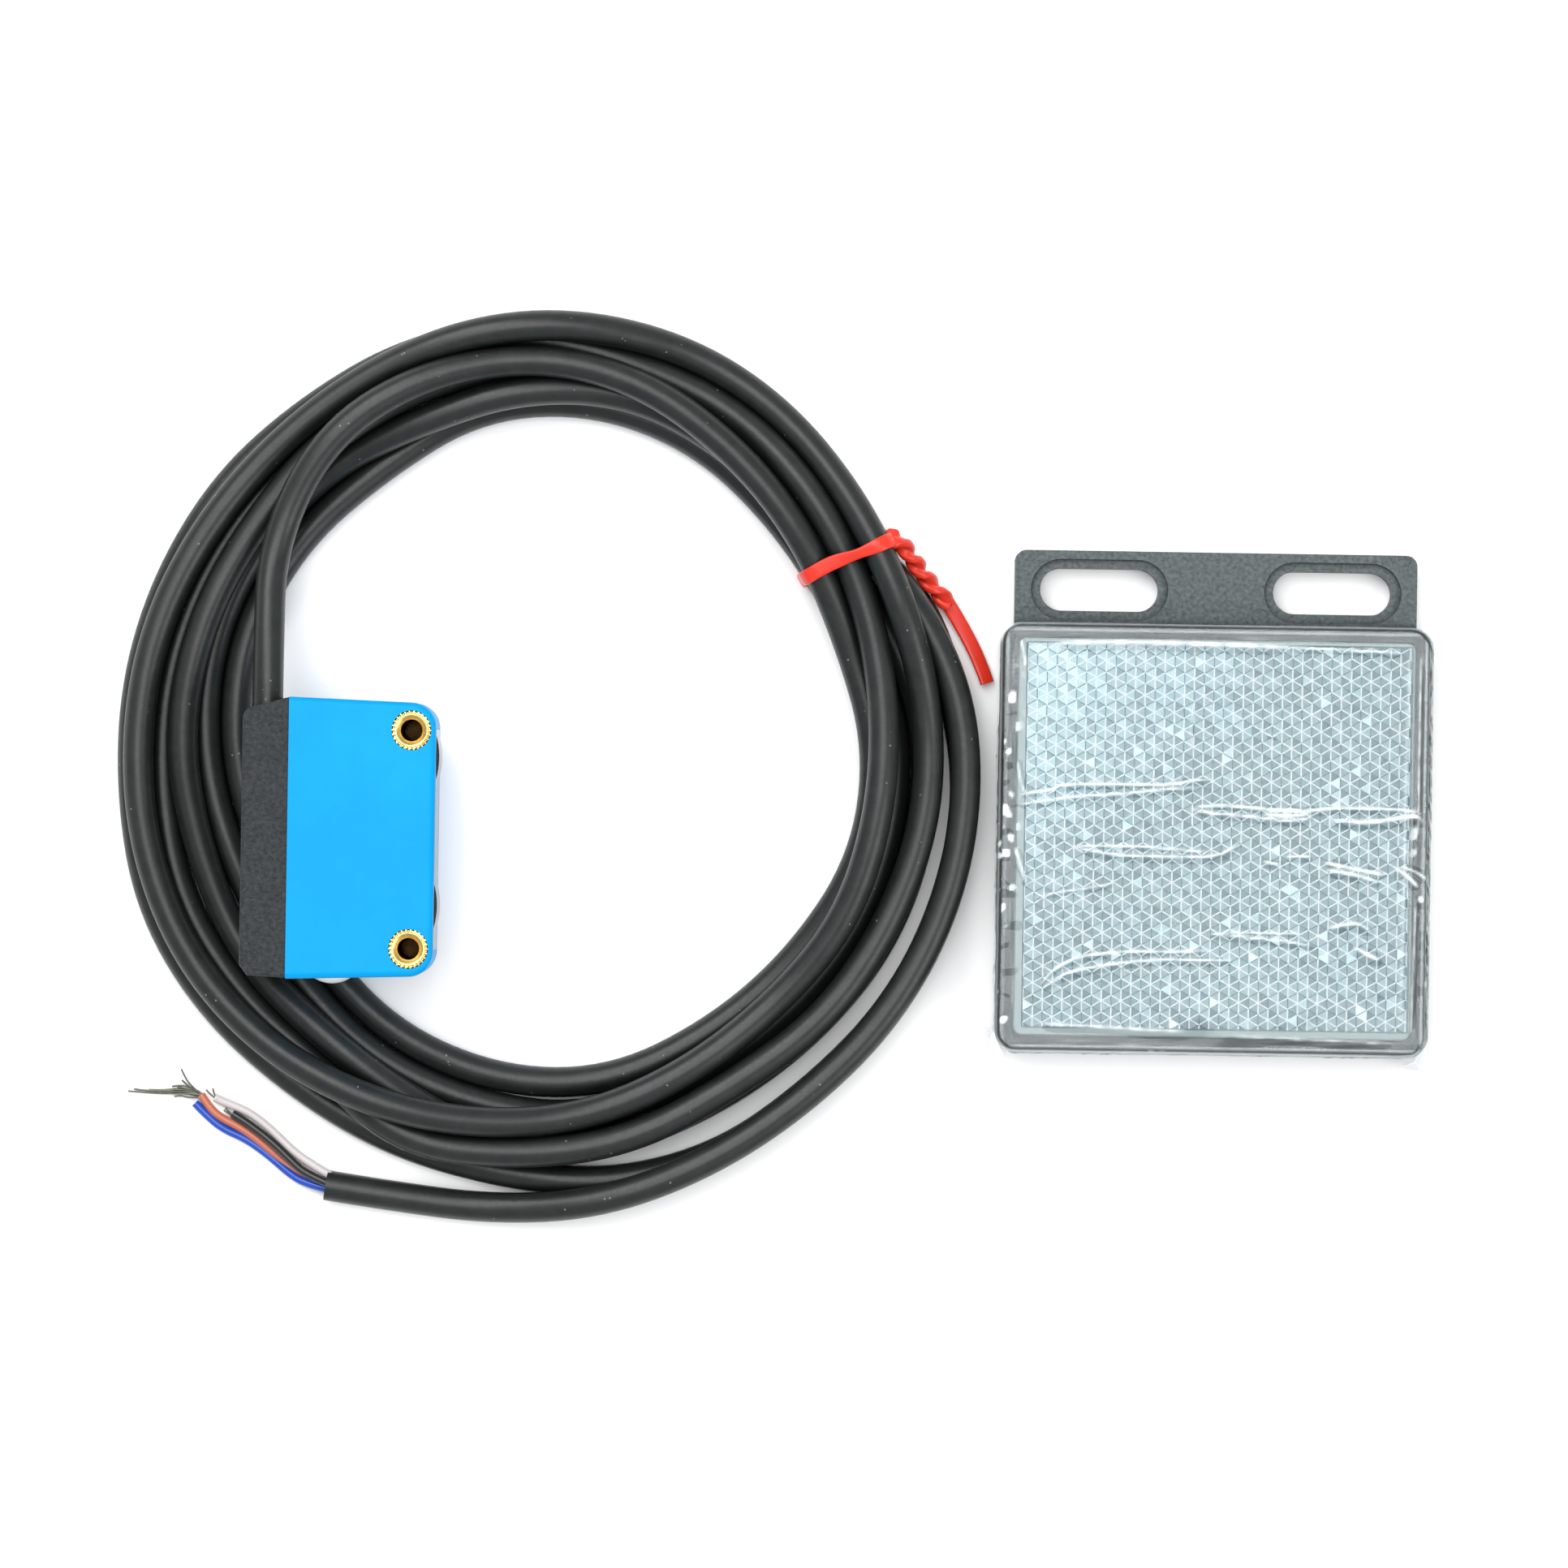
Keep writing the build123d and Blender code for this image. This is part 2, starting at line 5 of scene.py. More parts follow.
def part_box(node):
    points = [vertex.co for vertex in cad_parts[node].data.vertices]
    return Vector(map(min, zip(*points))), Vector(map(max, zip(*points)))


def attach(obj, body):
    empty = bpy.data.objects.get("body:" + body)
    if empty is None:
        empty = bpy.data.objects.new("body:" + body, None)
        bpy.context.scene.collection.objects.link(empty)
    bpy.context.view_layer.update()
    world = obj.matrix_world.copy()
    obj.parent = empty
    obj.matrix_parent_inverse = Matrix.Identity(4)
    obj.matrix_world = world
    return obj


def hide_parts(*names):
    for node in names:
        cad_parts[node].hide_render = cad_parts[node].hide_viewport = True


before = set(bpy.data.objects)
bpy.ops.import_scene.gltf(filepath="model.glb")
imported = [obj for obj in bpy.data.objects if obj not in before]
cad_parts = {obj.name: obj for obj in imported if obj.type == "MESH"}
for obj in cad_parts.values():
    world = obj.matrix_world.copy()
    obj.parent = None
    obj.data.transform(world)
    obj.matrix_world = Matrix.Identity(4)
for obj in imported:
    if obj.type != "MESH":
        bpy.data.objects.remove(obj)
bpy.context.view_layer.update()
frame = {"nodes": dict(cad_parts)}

MM = 0.001
scene = bpy.context.scene

# ------------------------------------------------------------------ camera first, then the cords
CAM_D = 0.900
CAM_PX = 9367.0
ROLL = math.radians(0.9)
cam_data = bpy.data.cameras.new("cam")
cam = bpy.data.objects.new("cam", cam_data)
scene.collection.objects.link(cam)
cam.location = (-0.00653, 0.00153, CAM_D)
cam.rotation_euler = (0, 0, ROLL)
cam_data.sensor_width = 36.0
cam_data.lens = CAM_PX / 1932.0 * 36.0
cam_data.clip_start = 0.01
scene.camera = cam

# ------------------------------------------------------------------ material helpers
def node(nt, kind, **kw):
    n = nt.nodes.new(kind)
    for k, v in kw.items():
        if k in n.inputs:
            n.inputs[k].default_value = v
        else:
            setattr(n, k, v)
    return n


def base_mat(name):
    m = bpy.data.materials.new(name)
    m.use_nodes = True
    nt = m.node_tree
    nt.nodes.clear()
    out = nt.nodes.new("ShaderNodeOutputMaterial")
    b = nt.nodes.new("ShaderNodeBsdfPrincipled")
    nt.links.new(b.outputs[0], out.inputs[0])
    tc = nt.nodes.new("ShaderNodeTexCoord")
    return m, nt, b, tc, out


def ramp(nt, fac, stops):
    r = nt.nodes.new("ShaderNodeValToRGB")
    els = r.color_ramp.elements
    while len(els) < len(stops):
        els.new(0.5)
    for e, (p, c) in zip(els, stops):
        e.position = p
        e.color = (*c, 1.0)
    nt.links.new(fac, r.inputs[0])
    return r.outputs[0]


def noise_tex(nt, tc, scale, detail=3.0, rough=0.5, stretch=None):
    n = nt.nodes.new("ShaderNodeTexNoise")
    n.inputs["Scale"].default_value = scale
    n.inputs["Detail"].default_value = detail
    n.inputs["Roughness"].default_value = rough
    if stretch:
        mp = nt.nodes.new("ShaderNodeMapping")
        mp.inputs["Scale"].default_value = stretch
        nt.links.new(tc.outputs["Object"], mp.inputs[0])
        nt.links.new(mp.outputs[0], n.inputs["Vector"])
    else:
        nt.links.new(tc.outputs["Object"], n.inputs["Vector"])
    return n.outputs["Fac"]


def scale_rgb(c, k):
    return tuple(min(1.0, x * k) for x in c)


def moulded(name, col, rough, grain=5000.0, depth=0.00002, strength=0.3, var=0.08, spec=0.5, dust=0.0, wide=220.0, painted_shade_dist=0.0, painted_shade_floor=0.35):
    m, nt, b, tc, out = base_mat(name)
    col_n = noise_tex(nt, tc, wide, 4.0, 0.6)
    c = ramp(nt, col_n, [(0.25, scale_rgb(col, 1 - var)), (0.75, scale_rgb(col, 1 + var))])
    if dust > 0:
        v = nt.nodes.new("ShaderNodeTexVoronoi")
        v.inputs["Scale"].default_value = 900.0
        nt.links.new(tc.outputs["Object"], v.inputs["Vector"])
        keep = noise_tex(nt, tc, 380.0, 2.0)
        lt = nt.nodes.new("ShaderNodeMath"); lt.operation = "LESS_THAN"
        nt.links.new(v.outputs["Distance"], lt.inputs[0]); lt.inputs[1].default_value = 0.11
        gt = nt.nodes.new("ShaderNodeMath"); gt.operation = "GREATER_THAN"
        nt.links.new(keep, gt.inputs[0]); gt.inputs[1].default_value = 0.60
        mu = nt.nodes.new("ShaderNodeMath"); mu.operation = "MULTIPLY"
        nt.links.new(lt.outputs[0], mu.inputs[0]); nt.links.new(gt.outputs[0], mu.inputs[1])
        m2 = nt.nodes.new("ShaderNodeMath"); m2.operation = "MULTIPLY"
        nt.links.new(mu.outputs[0], m2.inputs[0]); m2.inputs[1].default_value = dust
        mx = nt.nodes.new("ShaderNodeMix"); mx.data_type = "RGBA"
        nt.links.new(m2.outputs[0], mx.inputs[0])
        nt.links.new(c, mx.inputs[6]); mx.inputs[7].default_value = (0.42, 0.43, 0.43, 1)
        c = mx.outputs[2]
    # painted shade: an ambient-occlusion mask multiplies the base colour darker in corners, recesses and between
    # touching parts
    if painted_shade_dist > 0:
        an = nt.nodes.new("ShaderNodeAmbientOcclusion")
        an.samples = 8
        an.inputs["Distance"].default_value = painted_shade_dist
        d_ = painted_shade_floor
        k_ = ramp(nt, an.outputs["AO"], [(0.30, (d_, d_, d_)), (0.92, (1, 1, 1))])
        painted_shade_mix = nt.nodes.new("ShaderNodeMix"); painted_shade_mix.data_type = "RGBA"; painted_shade_mix.blend_type = "MULTIPLY"
        painted_shade_mix.inputs[0].default_value = 1.0
        nt.links.new(c, painted_shade_mix.inputs[6]); nt.links.new(k_, painted_shade_mix.inputs[7])
        c = painted_shade_mix.outputs[2]
    nt.links.new(c, b.inputs["Base Color"])
    g = noise_tex(nt, tc, grain, 3.0, 0.6)
    r = nt.nodes.new("ShaderNodeMapRange")
    nt.links.new(g, r.inputs[0])
    r.inputs[1].default_value = 0.2; r.inputs[2].default_value = 0.8
    r.inputs[3].default_value = max(0.02, rough - 0.07); r.inputs[4].default_value = min(1, rough + 0.07)
    nt.links.new(r.outputs[0], b.inputs["Roughness"])
    bp = nt.nodes.new("ShaderNodeBump")
    bp.inputs["Strength"].default_value = strength
    bp.inputs["Distance"].default_value = depth
    nt.links.new(g, bp.inputs["Height"])
    nt.links.new(bp.outputs[0], b.inputs["Normal"])
    b.inputs["Specular IOR Level"].default_value = spec
    return m


def metal(name, col, rough, grain=3000.0, depth=0.00001, var=0.12, stretch=None):
    m, nt, b, tc, out = base_mat(name)
    b.inputs["Metallic"].default_value = 1.0
    n1 = noise_tex(nt, tc, 900.0, 4.0, 0.6)
    nt.links.new(ramp(nt, n1, [(0.25, scale_rgb(col, 1 - var)), (0.75, scale_rgb(col, 1 + var))]), b.inputs["Base Color"])
    g = noise_tex(nt, tc, grain, 3.0, 0.6, stretch)
    r = nt.nodes.new("ShaderNodeMapRange")
    nt.links.new(g, r.inputs[0])
    r.inputs[3].default_value = max(0.05, rough - 0.08); r.inputs[4].default_value = rough + 0.1
    nt.links.new(r.outputs[0], b.inputs["Roughness"])
    bp = nt.nodes.new("ShaderNodeBump")
    bp.inputs["Strength"].default_value = 0.25
    bp.inputs["Distance"].default_value = depth
    nt.links.new(g, bp.inputs["Height"])
    nt.links.new(bp.outputs[0], b.inputs["Normal"])
    return m


def clear(name, col, rough, ior=1.49, trans=1.0, grain=900.0):
    m, nt, b, tc, out = base_mat(name)
    n1 = noise_tex(nt, tc, grain, 3.0, 0.5)
    nt.links.new(ramp(nt, n1, [(0.3, scale_rgb(col, 0.94)), (0.7, scale_rgb(col, 1.04))]), b.inputs["Base Color"])
    r = nt.nodes.new("ShaderNodeMapRange")
    nt.links.new(n1, r.inputs[0])
    r.inputs[3].default_value = max(0.01, rough - 0.02); r.inputs[4].default_value = rough + 0.04
    nt.links.new(r.outputs[0], b.inputs["Roughness"])
    b.inputs["Transmission Weight"].default_value = trans
    b.inputs["IOR"].default_value = ior
    return m


def shade(o, angle=40):
    me = o.data
    for p in me.polygons:
        p.use_smooth = True
    bm = bmesh.new(); bm.from_mesh(me)
    for e in bm.edges:
        e.smooth = not (len(e.link_faces) == 2 and e.calc_face_angle(0) > math.radians(angle))
    bm.to_mesh(me); bm.free()
    return o


def mesh_obj(name, verts, faces, mat, body, smooth=None):
    me = bpy.data.meshes.new(name)
    me.from_pydata([tuple(v) for v in verts], [], faces)
    me.update()
    bm = bmesh.new(); bm.from_mesh(me)
    bmesh.ops.recalc_face_normals(bm, faces=bm.faces)
    bm.to_mesh(me); bm.free()
    o = bpy.data.objects.new(name, me)
    scene.collection.objects.link(o)
    me.materials.append(mat)
    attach(o, body)
    if smooth is not None:
        shade(o, smooth)
    return o


def nurbs(name, splines, radius, mat, body, res=6, bev=5, caps=True):
    cu = bpy.data.curves.new(name, "CURVE")
    cu.dimensions = "3D"
    cu.resolution_u = res
    for pts in splines:
        sp = cu.splines.new("NURBS")
        sp.points.add(len(pts) - 1)
        for p, q in zip(sp.points, pts):
            p.co = (q[0] * MM, q[1] * MM, q[2] * MM, 1.0)
        sp.order_u = 3
        sp.use_endpoint_u = True
    cu.bevel_depth = radius * MM
    cu.bevel_resolution = bev
    cu.use_fill_caps = caps
    o = bpy.data.objects.new(name, cu)
    scene.collection.objects.link(o)
    cu.materials.append(mat)
    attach(o, body)
    return o


# ------------------------------------------------------------------ the lead
ROUTE = [
    (-67.0, 9.9, 11.6), (-67.0, 16.0, 11.6), (-67.1, 28.9, 7.5), (-61.0, 41.3, 9.4), (-50.3, 48.6, 9.2), (-36.8, 51.4, 7.8),
    (-24.1, 48.7, 8.6), (-12.8, 40.6, 8.7), (-4.7, 30.8, 8.5), (0.8, 18.7, 5.0), (4.7, 6.0, 4.3), (3.1, -7.2, 4.4),
    (-4.2, -18.7, 2.3), (-13.6, -27.4, 1.8), (-25.8, -33.9, 1.9), (-38.9, -34.3, 1.8), (-51.8, -29.3, 1.8), (-60.9, -20.2, 1.8),
    (-67.6, -8.5, 1.8), (-71.7, 4.2, 1.8), (-70.9, 17.5, 1.8), (-64.7, 29.5, 1.8), (-54.9, 38.2, 1.8), (-43.4, 45.6, 1.8),
    (-30.0, 46.7, 1.8), (-17.3, 42.2, 1.8), (-7.5, 33.2, 1.8), (-0.2, 22.3, 1.8), (6.5, 10.6, 1.8), (6.7, -2.7, 1.8),
    (2.5, -15.4, 1.8), (-5.9, -25.7, 1.8), (-16.5, -33.5, 1.8), (-29.5, -38.5, 1.9), (-42.1, -37.1, 1.8), (-54.8, -31.6, 1.9),
    (-63.9, -22.1, 1.8), (-70.5, -10.7, 1.9), (-74.9, 1.8, 1.8), (-75.0, 15.2, 2.1), (-70.3, 27.5, 1.8), (-61.3, 38.1, 2.4),
    (-49.9, 43.7, 5.4), (-37.8, 47.7, 6.8), (-24.7, 47.3, 4.9), (-12.9, 40.8, 5.1), (-3.3, 31.1, 5.1), (5.0, 21.4, 2.1),
    (10.4, 9.1, 1.8), (10.0, -4.3, 1.8), (5.7, -16.9, 1.8), (-2.5, -27.4, 1.8), (-13.0, -35.5, 1.8), (-25.2, -41.1, 1.8),
    (-38.5, -42.1, 1.8), (-50.4, -36.4, 5.0), (-61.1, -28.3, 5.4), (-70.4, -19.3, 2.4), (-75.7, -6.7, 3.3), (-78.0, 6.2, 4.6),
    (-75.6, 19.4, 5.4), (-69.4, 31.2, 5.1), (-61.1, 41.4, 5.6), (-49.0, 48.4, 5.8), (-36.6, 50.2, 3.5), (-23.5, 48.8, 1.8),
    (-11.6, 42.5, 1.8), (-2.5, 32.5, 1.8), (8.6, 25.2, 1.8), (13.6, 12.5, 1.8), (15.4, -0.5, 1.8), (12.5, -13.7, 1.8),
    (6.5, -25.3, 1.8), (-2.9, -35.0, 1.8), (-13.6, -42.7, 1.8), (-26.6, -46.2, 1.8), (-39.8, -44.9, 1.8), (-52.7, -41.3, 1.8),
    (-64.0, -34.6, 1.8), (-74.0, -25.8, 1.8), (-81.1, -14.4, 1.8), (-83.6, -1.5, 1.8), (-83.4, 12.0, 1.8), (-79.8, 24.6, 1.8),
    (-72.9, 36.3, 1.9), (-63.2, 45.1, 1.8), (-51.7, 51.9, 3.6), (-38.9, 54.4, 5.6), (-25.7, 51.1, 5.2), (-13.6, 45.9, 4.8),
    (-4.1, 36.5, 8.3), (2.3, 25.0, 7.3), (5.2, 12.0, 7.6), (5.0, -1.2, 8.3), (1.3, -14.1, 6.8), (-6.9, -24.3, 4.7),
    (-17.4, -32.8, 5.7), (-29.4, -38.2, 5.2), (-42.7, -39.1, 7.1), (-55.6, -36.3, 8.7), (-67.3, -30.1, 5.3), (-76.3, -20.5, 5.1),
    (-81.6, -8.1, 5.2), (-83.0, 5.1, 5.3), (-81.1, 18.3, 5.2), (-75.4, 30.3, 5.2), (-66.9, 40.6, 5.1), (-56.6, 48.7, 6.1),
    (-44.3, 54.1, 8.7), (-31.5, 55.3, 8.8), (-18.3, 52.4, 4.9), (-7.3, 45.3, 5.3), (1.3, 34.8, 8.2), (6.9, 23.4, 9.7),
    (10.5, 10.5, 5.5), (10.4, -2.6, 5.4), (5.9, -15.4, 5.4), (-1.5, -26.3, 5.4), (-12.2, -34.2, 5.4), (-23.9, -40.8, 5.4),
    (-36.7, -42.7, 5.6), (-50.8, -41.4, 6.1), (-60.7, -32.7, 3.4), (-70.3, -24.5, 1.8), (-77.7, -13.3, 2.0), (-80.2, 0.2, 1.8),
    (-79.6, 13.4, 1.9), (-75.2, 26.0, 1.9), (-67.6, 36.9, 1.8), (-57.1, 44.8, 2.2), (-45.2, 51.2, 1.8), (-33.0, 53.9, 1.9),
    (-19.4, 51.1, 1.8), (-7.5, 43.8, 2.0), (-0.3, 33.3, 5.3), (8.7, 23.3, 5.4), (14.4, 11.6, 5.3), (15.1, -2.0, 5.4),
    (12.1, -14.9, 5.4), (5.6, -26.4, 5.4), (-3.9, -35.9, 5.4), (-14.8, -43.3, 5.4), (-27.2, -48.2, 5.2), (-40.1, -49.3, 1.8),
    (-53.4, -47.7, 1.8), (-59.9, -46.7, 1.8),
]
# the jacket colour carries painted shade where the coil's turns touch and overlap (ambient-occlusion darkening)
M_JACKET = moulded("jacket", (0.0140, 0.0168, 0.0160), 0.36, grain=2600.0, depth=0.00003, strength=0.35, var=0.25, dust=0.30, wide=500.0, spec=0.36, painted_shade_dist=0.0025, painted_shade_floor=0.35)
lead = nurbs("lead", [ROUTE], 1.8, M_JACKET, "sensor", res=8, bev=8)
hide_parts("cable_lead", "cable_coil", "cable_tail")

CORES = {
    "core_blue": [(-59.5, -47.2, 1.9), (-62.3, -46.6, 1.2), (-64.2, -45.5, 0.9), (-66.1, -43.9, 0.6), (-67.9, -42.5, 0.6),
                  (-69.8, -41.3, 0.6), (-72.0, -40.4, 0.6), (-73.8, -39.1, 0.6), (-75.6, -37.3, 0.55)],
    "core_white": [(-59.3, -45.6, 2.3), (-61.7, -44.2, 1.9), (-63.7, -42.9, 1.5), (-65.6, -41.1, 1.3), (-67.2, -39.7, 1.0),
                   (-69.0, -38.4, 0.8), (-70.8, -37.6, 0.7), (-72.6, -36.9, 0.75), (-73.3, -36.6, 0.8)],
    "core_black": [(-59.3, -46.6, 2.7), (-62.3, -45.4, 2.2), (-64.0, -43.9, 2.0), (-66.0, -42.0, 1.8), (-67.8, -40.6, 1.6),
                   (-69.7, -39.3, 1.3), (-71.1, -38.5, 1.0)],
    "core_brown": [(-59.5, -46.6, 1.1), (-62.2, -45.9, 0.75), (-64.6, -44.5, 0.6), (-66.8, -42.6, 0.75), (-68.8, -41.0, 0.8),
                   (-70.6, -39.9, 0.75), (-72.3, -39.1, 0.7), (-73.8, -38.0, 0.7), (-74.9, -36.3, 0.6)],
}
CORE_MATS = {
    "core_blue": moulded("core_blue", (0.006, 0.055, 0.38), 0.30, grain=3500.0, strength=0.15, spec=0.55),
    "core_white": moulded("core_white", (0.50, 0.47, 0.46), 0.35, grain=3500.0, strength=0.15),
    "core_black": moulded("core_black", (0.016, 0.016, 0.017), 0.30, grain=3500.0, strength=0.15),
    "core_brown": moulded("core_brown", (0.44, 0.13, 0.075), 0.32, grain=3500.0, strength=0.15),
}
for nm, pts in CORES.items():
    o = nurbs(nm + "_wire", [pts], 0.5, CORE_MATS[nm], "sensor", res=10, bev=5)
    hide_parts(nm)

# tinned strands, frayed
random.seed(7)
M_TIN = metal("tinned_copper", (0.13, 0.13, 0.105), 0.38, grain=5000.0)
fray = []
REACH = (6, 3, 4, 5, 3, 6, 4, 3, 5)
for k in range(9):
    dy, dz = 0.20 * math.sin(k * 2.1), 0.20 * math.cos(k * 2.1)
    e = (k - 4) * 0.09
    full = [(-74.7, -36.40 + dy, 0.55 + dz), (-76.2, -36.0 + dy * 0.8 + e * 0.5, 0.42 + dz * 0.6),
            (-77.6 - 0.2 * (k % 3), -35.85 + dy * 0.9 + e, 0.40 + dz * 0.5), (-79.6, -36.0 + e * 0.7 + 0.12 * math.sin(k * 3.0), 0.3 + 0.06 * (k % 3)),
            (-81.4 + 0.3 * math.sin(k), -36.0 + e * 0.5, 0.22 + 0.07 * (k % 2)),
            (-83.6 + 0.9 * abs(math.sin(k * 1.7)), -35.8 + e * 0.6, 0.20 + 0.05 * (k % 3))]
    fray.append(full[:REACH[k]])
fray += [[(-75.0, -36.2, 0.5), (-76.0, -35.6, 0.5), (-76.7, -35.1, 0.5), (-77.2, -34.6, 0.6)],
         [(-75.0, -36.0, 0.5), (-76.3, -35.4, 0.4), (-77.6, -35.2, 0.35), (-78.4, -35.4, 0.3)],
         [(-77.5, -33.2, 0.2), (-77.8, -32.8, 0.25), (-77.9, -32.4, 0.2)],
         [(-75.2, -36.6, 0.5), (-76.4, -36.7, 0.4), (-77.4, -36.4, 0.35), (-78.1, -36.6, 0.3)],
         [(-72.9, -36.9, 1.0), (-73.4, -36.2, 0.8), (-73.5, -35.5, 0.9)],
         [(-72.9, -36.8, 1.2), (-73.7, -36.4, 0.9), (-74.3, -35.7, 0.7)],
         [(-70.9, -39.0, 0.9), (-71.5, -38.5, 0.8), (-72.2, -38.1, 0.6)],
         [(-70.9, -38.8, 0.9), (-71.6, -38.3, 0.8), (-72.0, -37.8, 0.7)]]
fray[11] = [(-75.1, -36.1, 0.55), (-76.2, -35.2, 0.5), (-76.9, -34.2, 0.5), (-77.3, -33.3, 0.5)]
strands = nurbs("strand_fray", fray, 0.10, M_TIN, "sensor", res=6, bev=3)
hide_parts("bare_strands")

# ------------------------------------------------------------------ twist tie
def sweep(path, profile, closed_path=False, twist=0.0, up=(0, 0, 1)):
    """Mesh of a closed profile carried along a path, with a steady twist in radians per mm."""
    vs, fs = [], []
    n, m = len(path), len(profile)
    P = [Vector(p) for p in path]
    s = 0.0
    for i in range(n):
        a = P[(i - 1) % n] if (closed_path or i > 0) else P[0]
        b = P[(i + 1) % n] if (closed_path or i < n - 1) else P[-1]
        t = (b - a).normalized()
        side = t.cross(Vector(up))
        if side.length < 1e-6:
            side = t.cross(Vector((1, 0, 0)))
        side.normalize()
        nor = side.cross(t).normalized()
        if i:
            s += (P[i] - P[i - 1]).length
        c, q = math.cos(twist * s), math.sin(twist * s)
        for (x, y) in profile:
            xx, yy = x * c - y * q, x * q + y * c
            vs.append((P[i] + side * xx + nor * yy) * MM)
    rng = n if closed_path else n - 1
    for i in range(rng):
        j = (i + 1) % n
        for k in range(m):
            l = (k + 1) % m
            fs.append((i * m + k, i * m + l, j * m + l, j * m + k))
    if not closed_path:
        fs.append(tuple(range(m))[::-1])
        fs.append(tuple((n - 1) * m + k for k in range(m)))
    return vs, fs


def smooth_path(pts, per=8, closed=False):
    out, n = [], len(pts)
    P = [Vector(p) for p in pts]
    last = n if closed else n - 1
    for i in range(last):
        p0 = P[(i - 1) % n] if (closed or i) else P[0]
        p1, p2 = P[i], P[(i + 1) % n]
        p3 = P[(i + 2) % n] if (closed or i + 2 < n) else P[-1]
        for k in range(per):
            t = k / per
            out.append(0.5 * ((2 * p1) + (p2 - p0) * t + (2 * p0 - 5 * p1 + 4 * p2 - p3) * t * t
                              + (3 * p1 - p0 - 3 * p2 + p3) * t ** 3))
    if not closed:
        out.append(P[-1])
    return out


# flat coated wire: rounded flat profile
def tie_profile(w=1.9, t=0.5, n=20):
    out = []
    for k in range(n):
        a = 2 * math.pi * k / n
        c, q = math.cos(a), math.sin(a)
        out.append((w / 2 * math.copysign(abs(c) ** 0.55, c), t / 2 * math.copysign(abs(q) ** 0.8, q)))
    return out


M_TIE = moulded("tie_coat", (0.64, 0.030, 0.013), 0.34, grain=1400.0, depth=0.00004, strength=0.35, var=0.10, spec=0.40)
A = Vector((-4.1, 26.0, 0)); B = Vector((5.4, 31.5, 0))
tdir = (B - A).normalized()
ndir = Vector((-tdir.y, tdir.x, 0))
SEC = [(1.2, 1.8), (7.07, 1.8), (7.89, 5.28), (8.71, 8.8), (5.0, 7.6), (1.42, 7.29), (3.98, 4.05)]
arc = []
for k in range(360):
    a = 2 * math.pi * k / 360
    dx, dz = math.cos(a), math.sin(a)
    best = max(SEC, key=lambda c: c[0] * dx + c[1] * dz)
    R = 1.8 + 0.30
    arc.append(Vector((best[0] + R * dx, max(best[1] + R * dz, 0.30))))
# even steps along the hull
dist = [0.0]
for i in range(1, 361):
    dist.append(dist[-1] + (arc[i % 360] - arc[i - 1]).length)
NB = 110
loop, ww = [], []
j = 0
for i in range(NB):
    d = dist[-1] * i / NB
    while dist[j + 1] < d:
        j += 1
    f = (d - dist[j]) / max(1e-9, dist[j + 1] - dist[j])
    p = arc[j].lerp(arc[(j + 1) % 360], f)
    top = max(0.0, min(1.0, (p.y - 6.0) / 3.0))
    loop.append(A + tdir * p.x + Vector((0, 0, p.y)) + ndir * (0.10 * top * math.sin((p.x - 1.0) * 0.75) - 1.25 * top * max(0.0, p.x / 10.98) ** 1.4))
    ww.append((1.75 - 0.45 * top * math.exp(-((p.x - 6.3) / 1.8) ** 2), 0.30 * top * math.exp(-((p.x - 6.3) / 2.2) ** 2)))
vs, fs = [], []
n = len(loop); m = 20
for i in range(n):
    t = (loop[(i + 1) % n] - loop[(i - 1) % n]).normalized()
    out = ndir.cross(t).normalized()
    wd, tilt = ww[i]
    for (x, y) in tie_profile(wd, 0.46):
        c, q = math.cos(tilt), math.sin(tilt)
        vs.append((loop[i] + ndir * (x * c - y * q) + out * (x * q + y * c)) * MM)
for i in range(n):
    j = (i + 1) % n
    for k in range(m):
        l = (k + 1) % m
        fs.append((i * m + k, i * m + l, j * m + l, j * m + k))


def add(v, f):
    b = len(vs)
    vs.extend(v)
    fs.extend([tuple(b + i for i in q) for q in f])


# the two ends wound round each other, down to the surface
tw_path = smooth_path([(5.7, 30.6, 9.0), (6.7, 30.1, 8.0), (8.2, 28.2, 6.0), (9.6, 26.3, 4.0), (10.9, 24.9, 2.7), (12.0, 23.7, 1.9), (12.6, 23.0, 1.5)], 10)
for ph in (0.4, 0.4 + math.pi):
    strand = []
    acc = 0.0
    for i, p in enumerate(tw_path):
        if i:
            acc += (p - tw_path[i - 1]).length
        t = (tw_path[min(i + 1, len(tw_path) - 1)] - tw_path[max(i - 1, 0)]).normalized()
        sd = t.cross(Vector((0, 0, 1))).normalized(); nn = sd.cross(t)
        an = ph + acc * 1.02
        rr = 0.38 + 0.26 * max(0.0, 1 - i / 9.0)
        strand.append(p + sd * (rr * math.cos(an)) + nn * (rr * math.sin(an)))
    v, f = sweep([tuple(p) for p in strand], tie_profile(1.50, 1.12, 20), twist=1.02)
    add(v, f)
end_path = smooth_path([(11.8, 24.2, 1.9), (13.0, 22.4, 1.4), (14.4, 20.1, 1.1), (15.7, 17.7, 1.0), (16.8, 15.2, 1.0), (17.3, 13.8, 1.0)], 8)
v, f = sweep([tuple(p) for p in end_path], tie_profile(1.75, 0.62, 20), twist=0.04)
add(v, f)
tie = mesh_obj("tie", vs, fs, M_TIE, "sensor", smooth=50)
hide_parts("twist_tie")

# ------------------------------------------------------------------ materials on the CAD nodes
N = frame["nodes"]
def paint(name, mat):
    o = bpy.data.objects[name] if name in bpy.data.objects else None
    if o is None:
        o = N[name] if isinstance(N, dict) else None
    if o.material_slots:
        for s in o.material_slots:
            s.material = mat
    else:
        o.data.materials.append(mat)

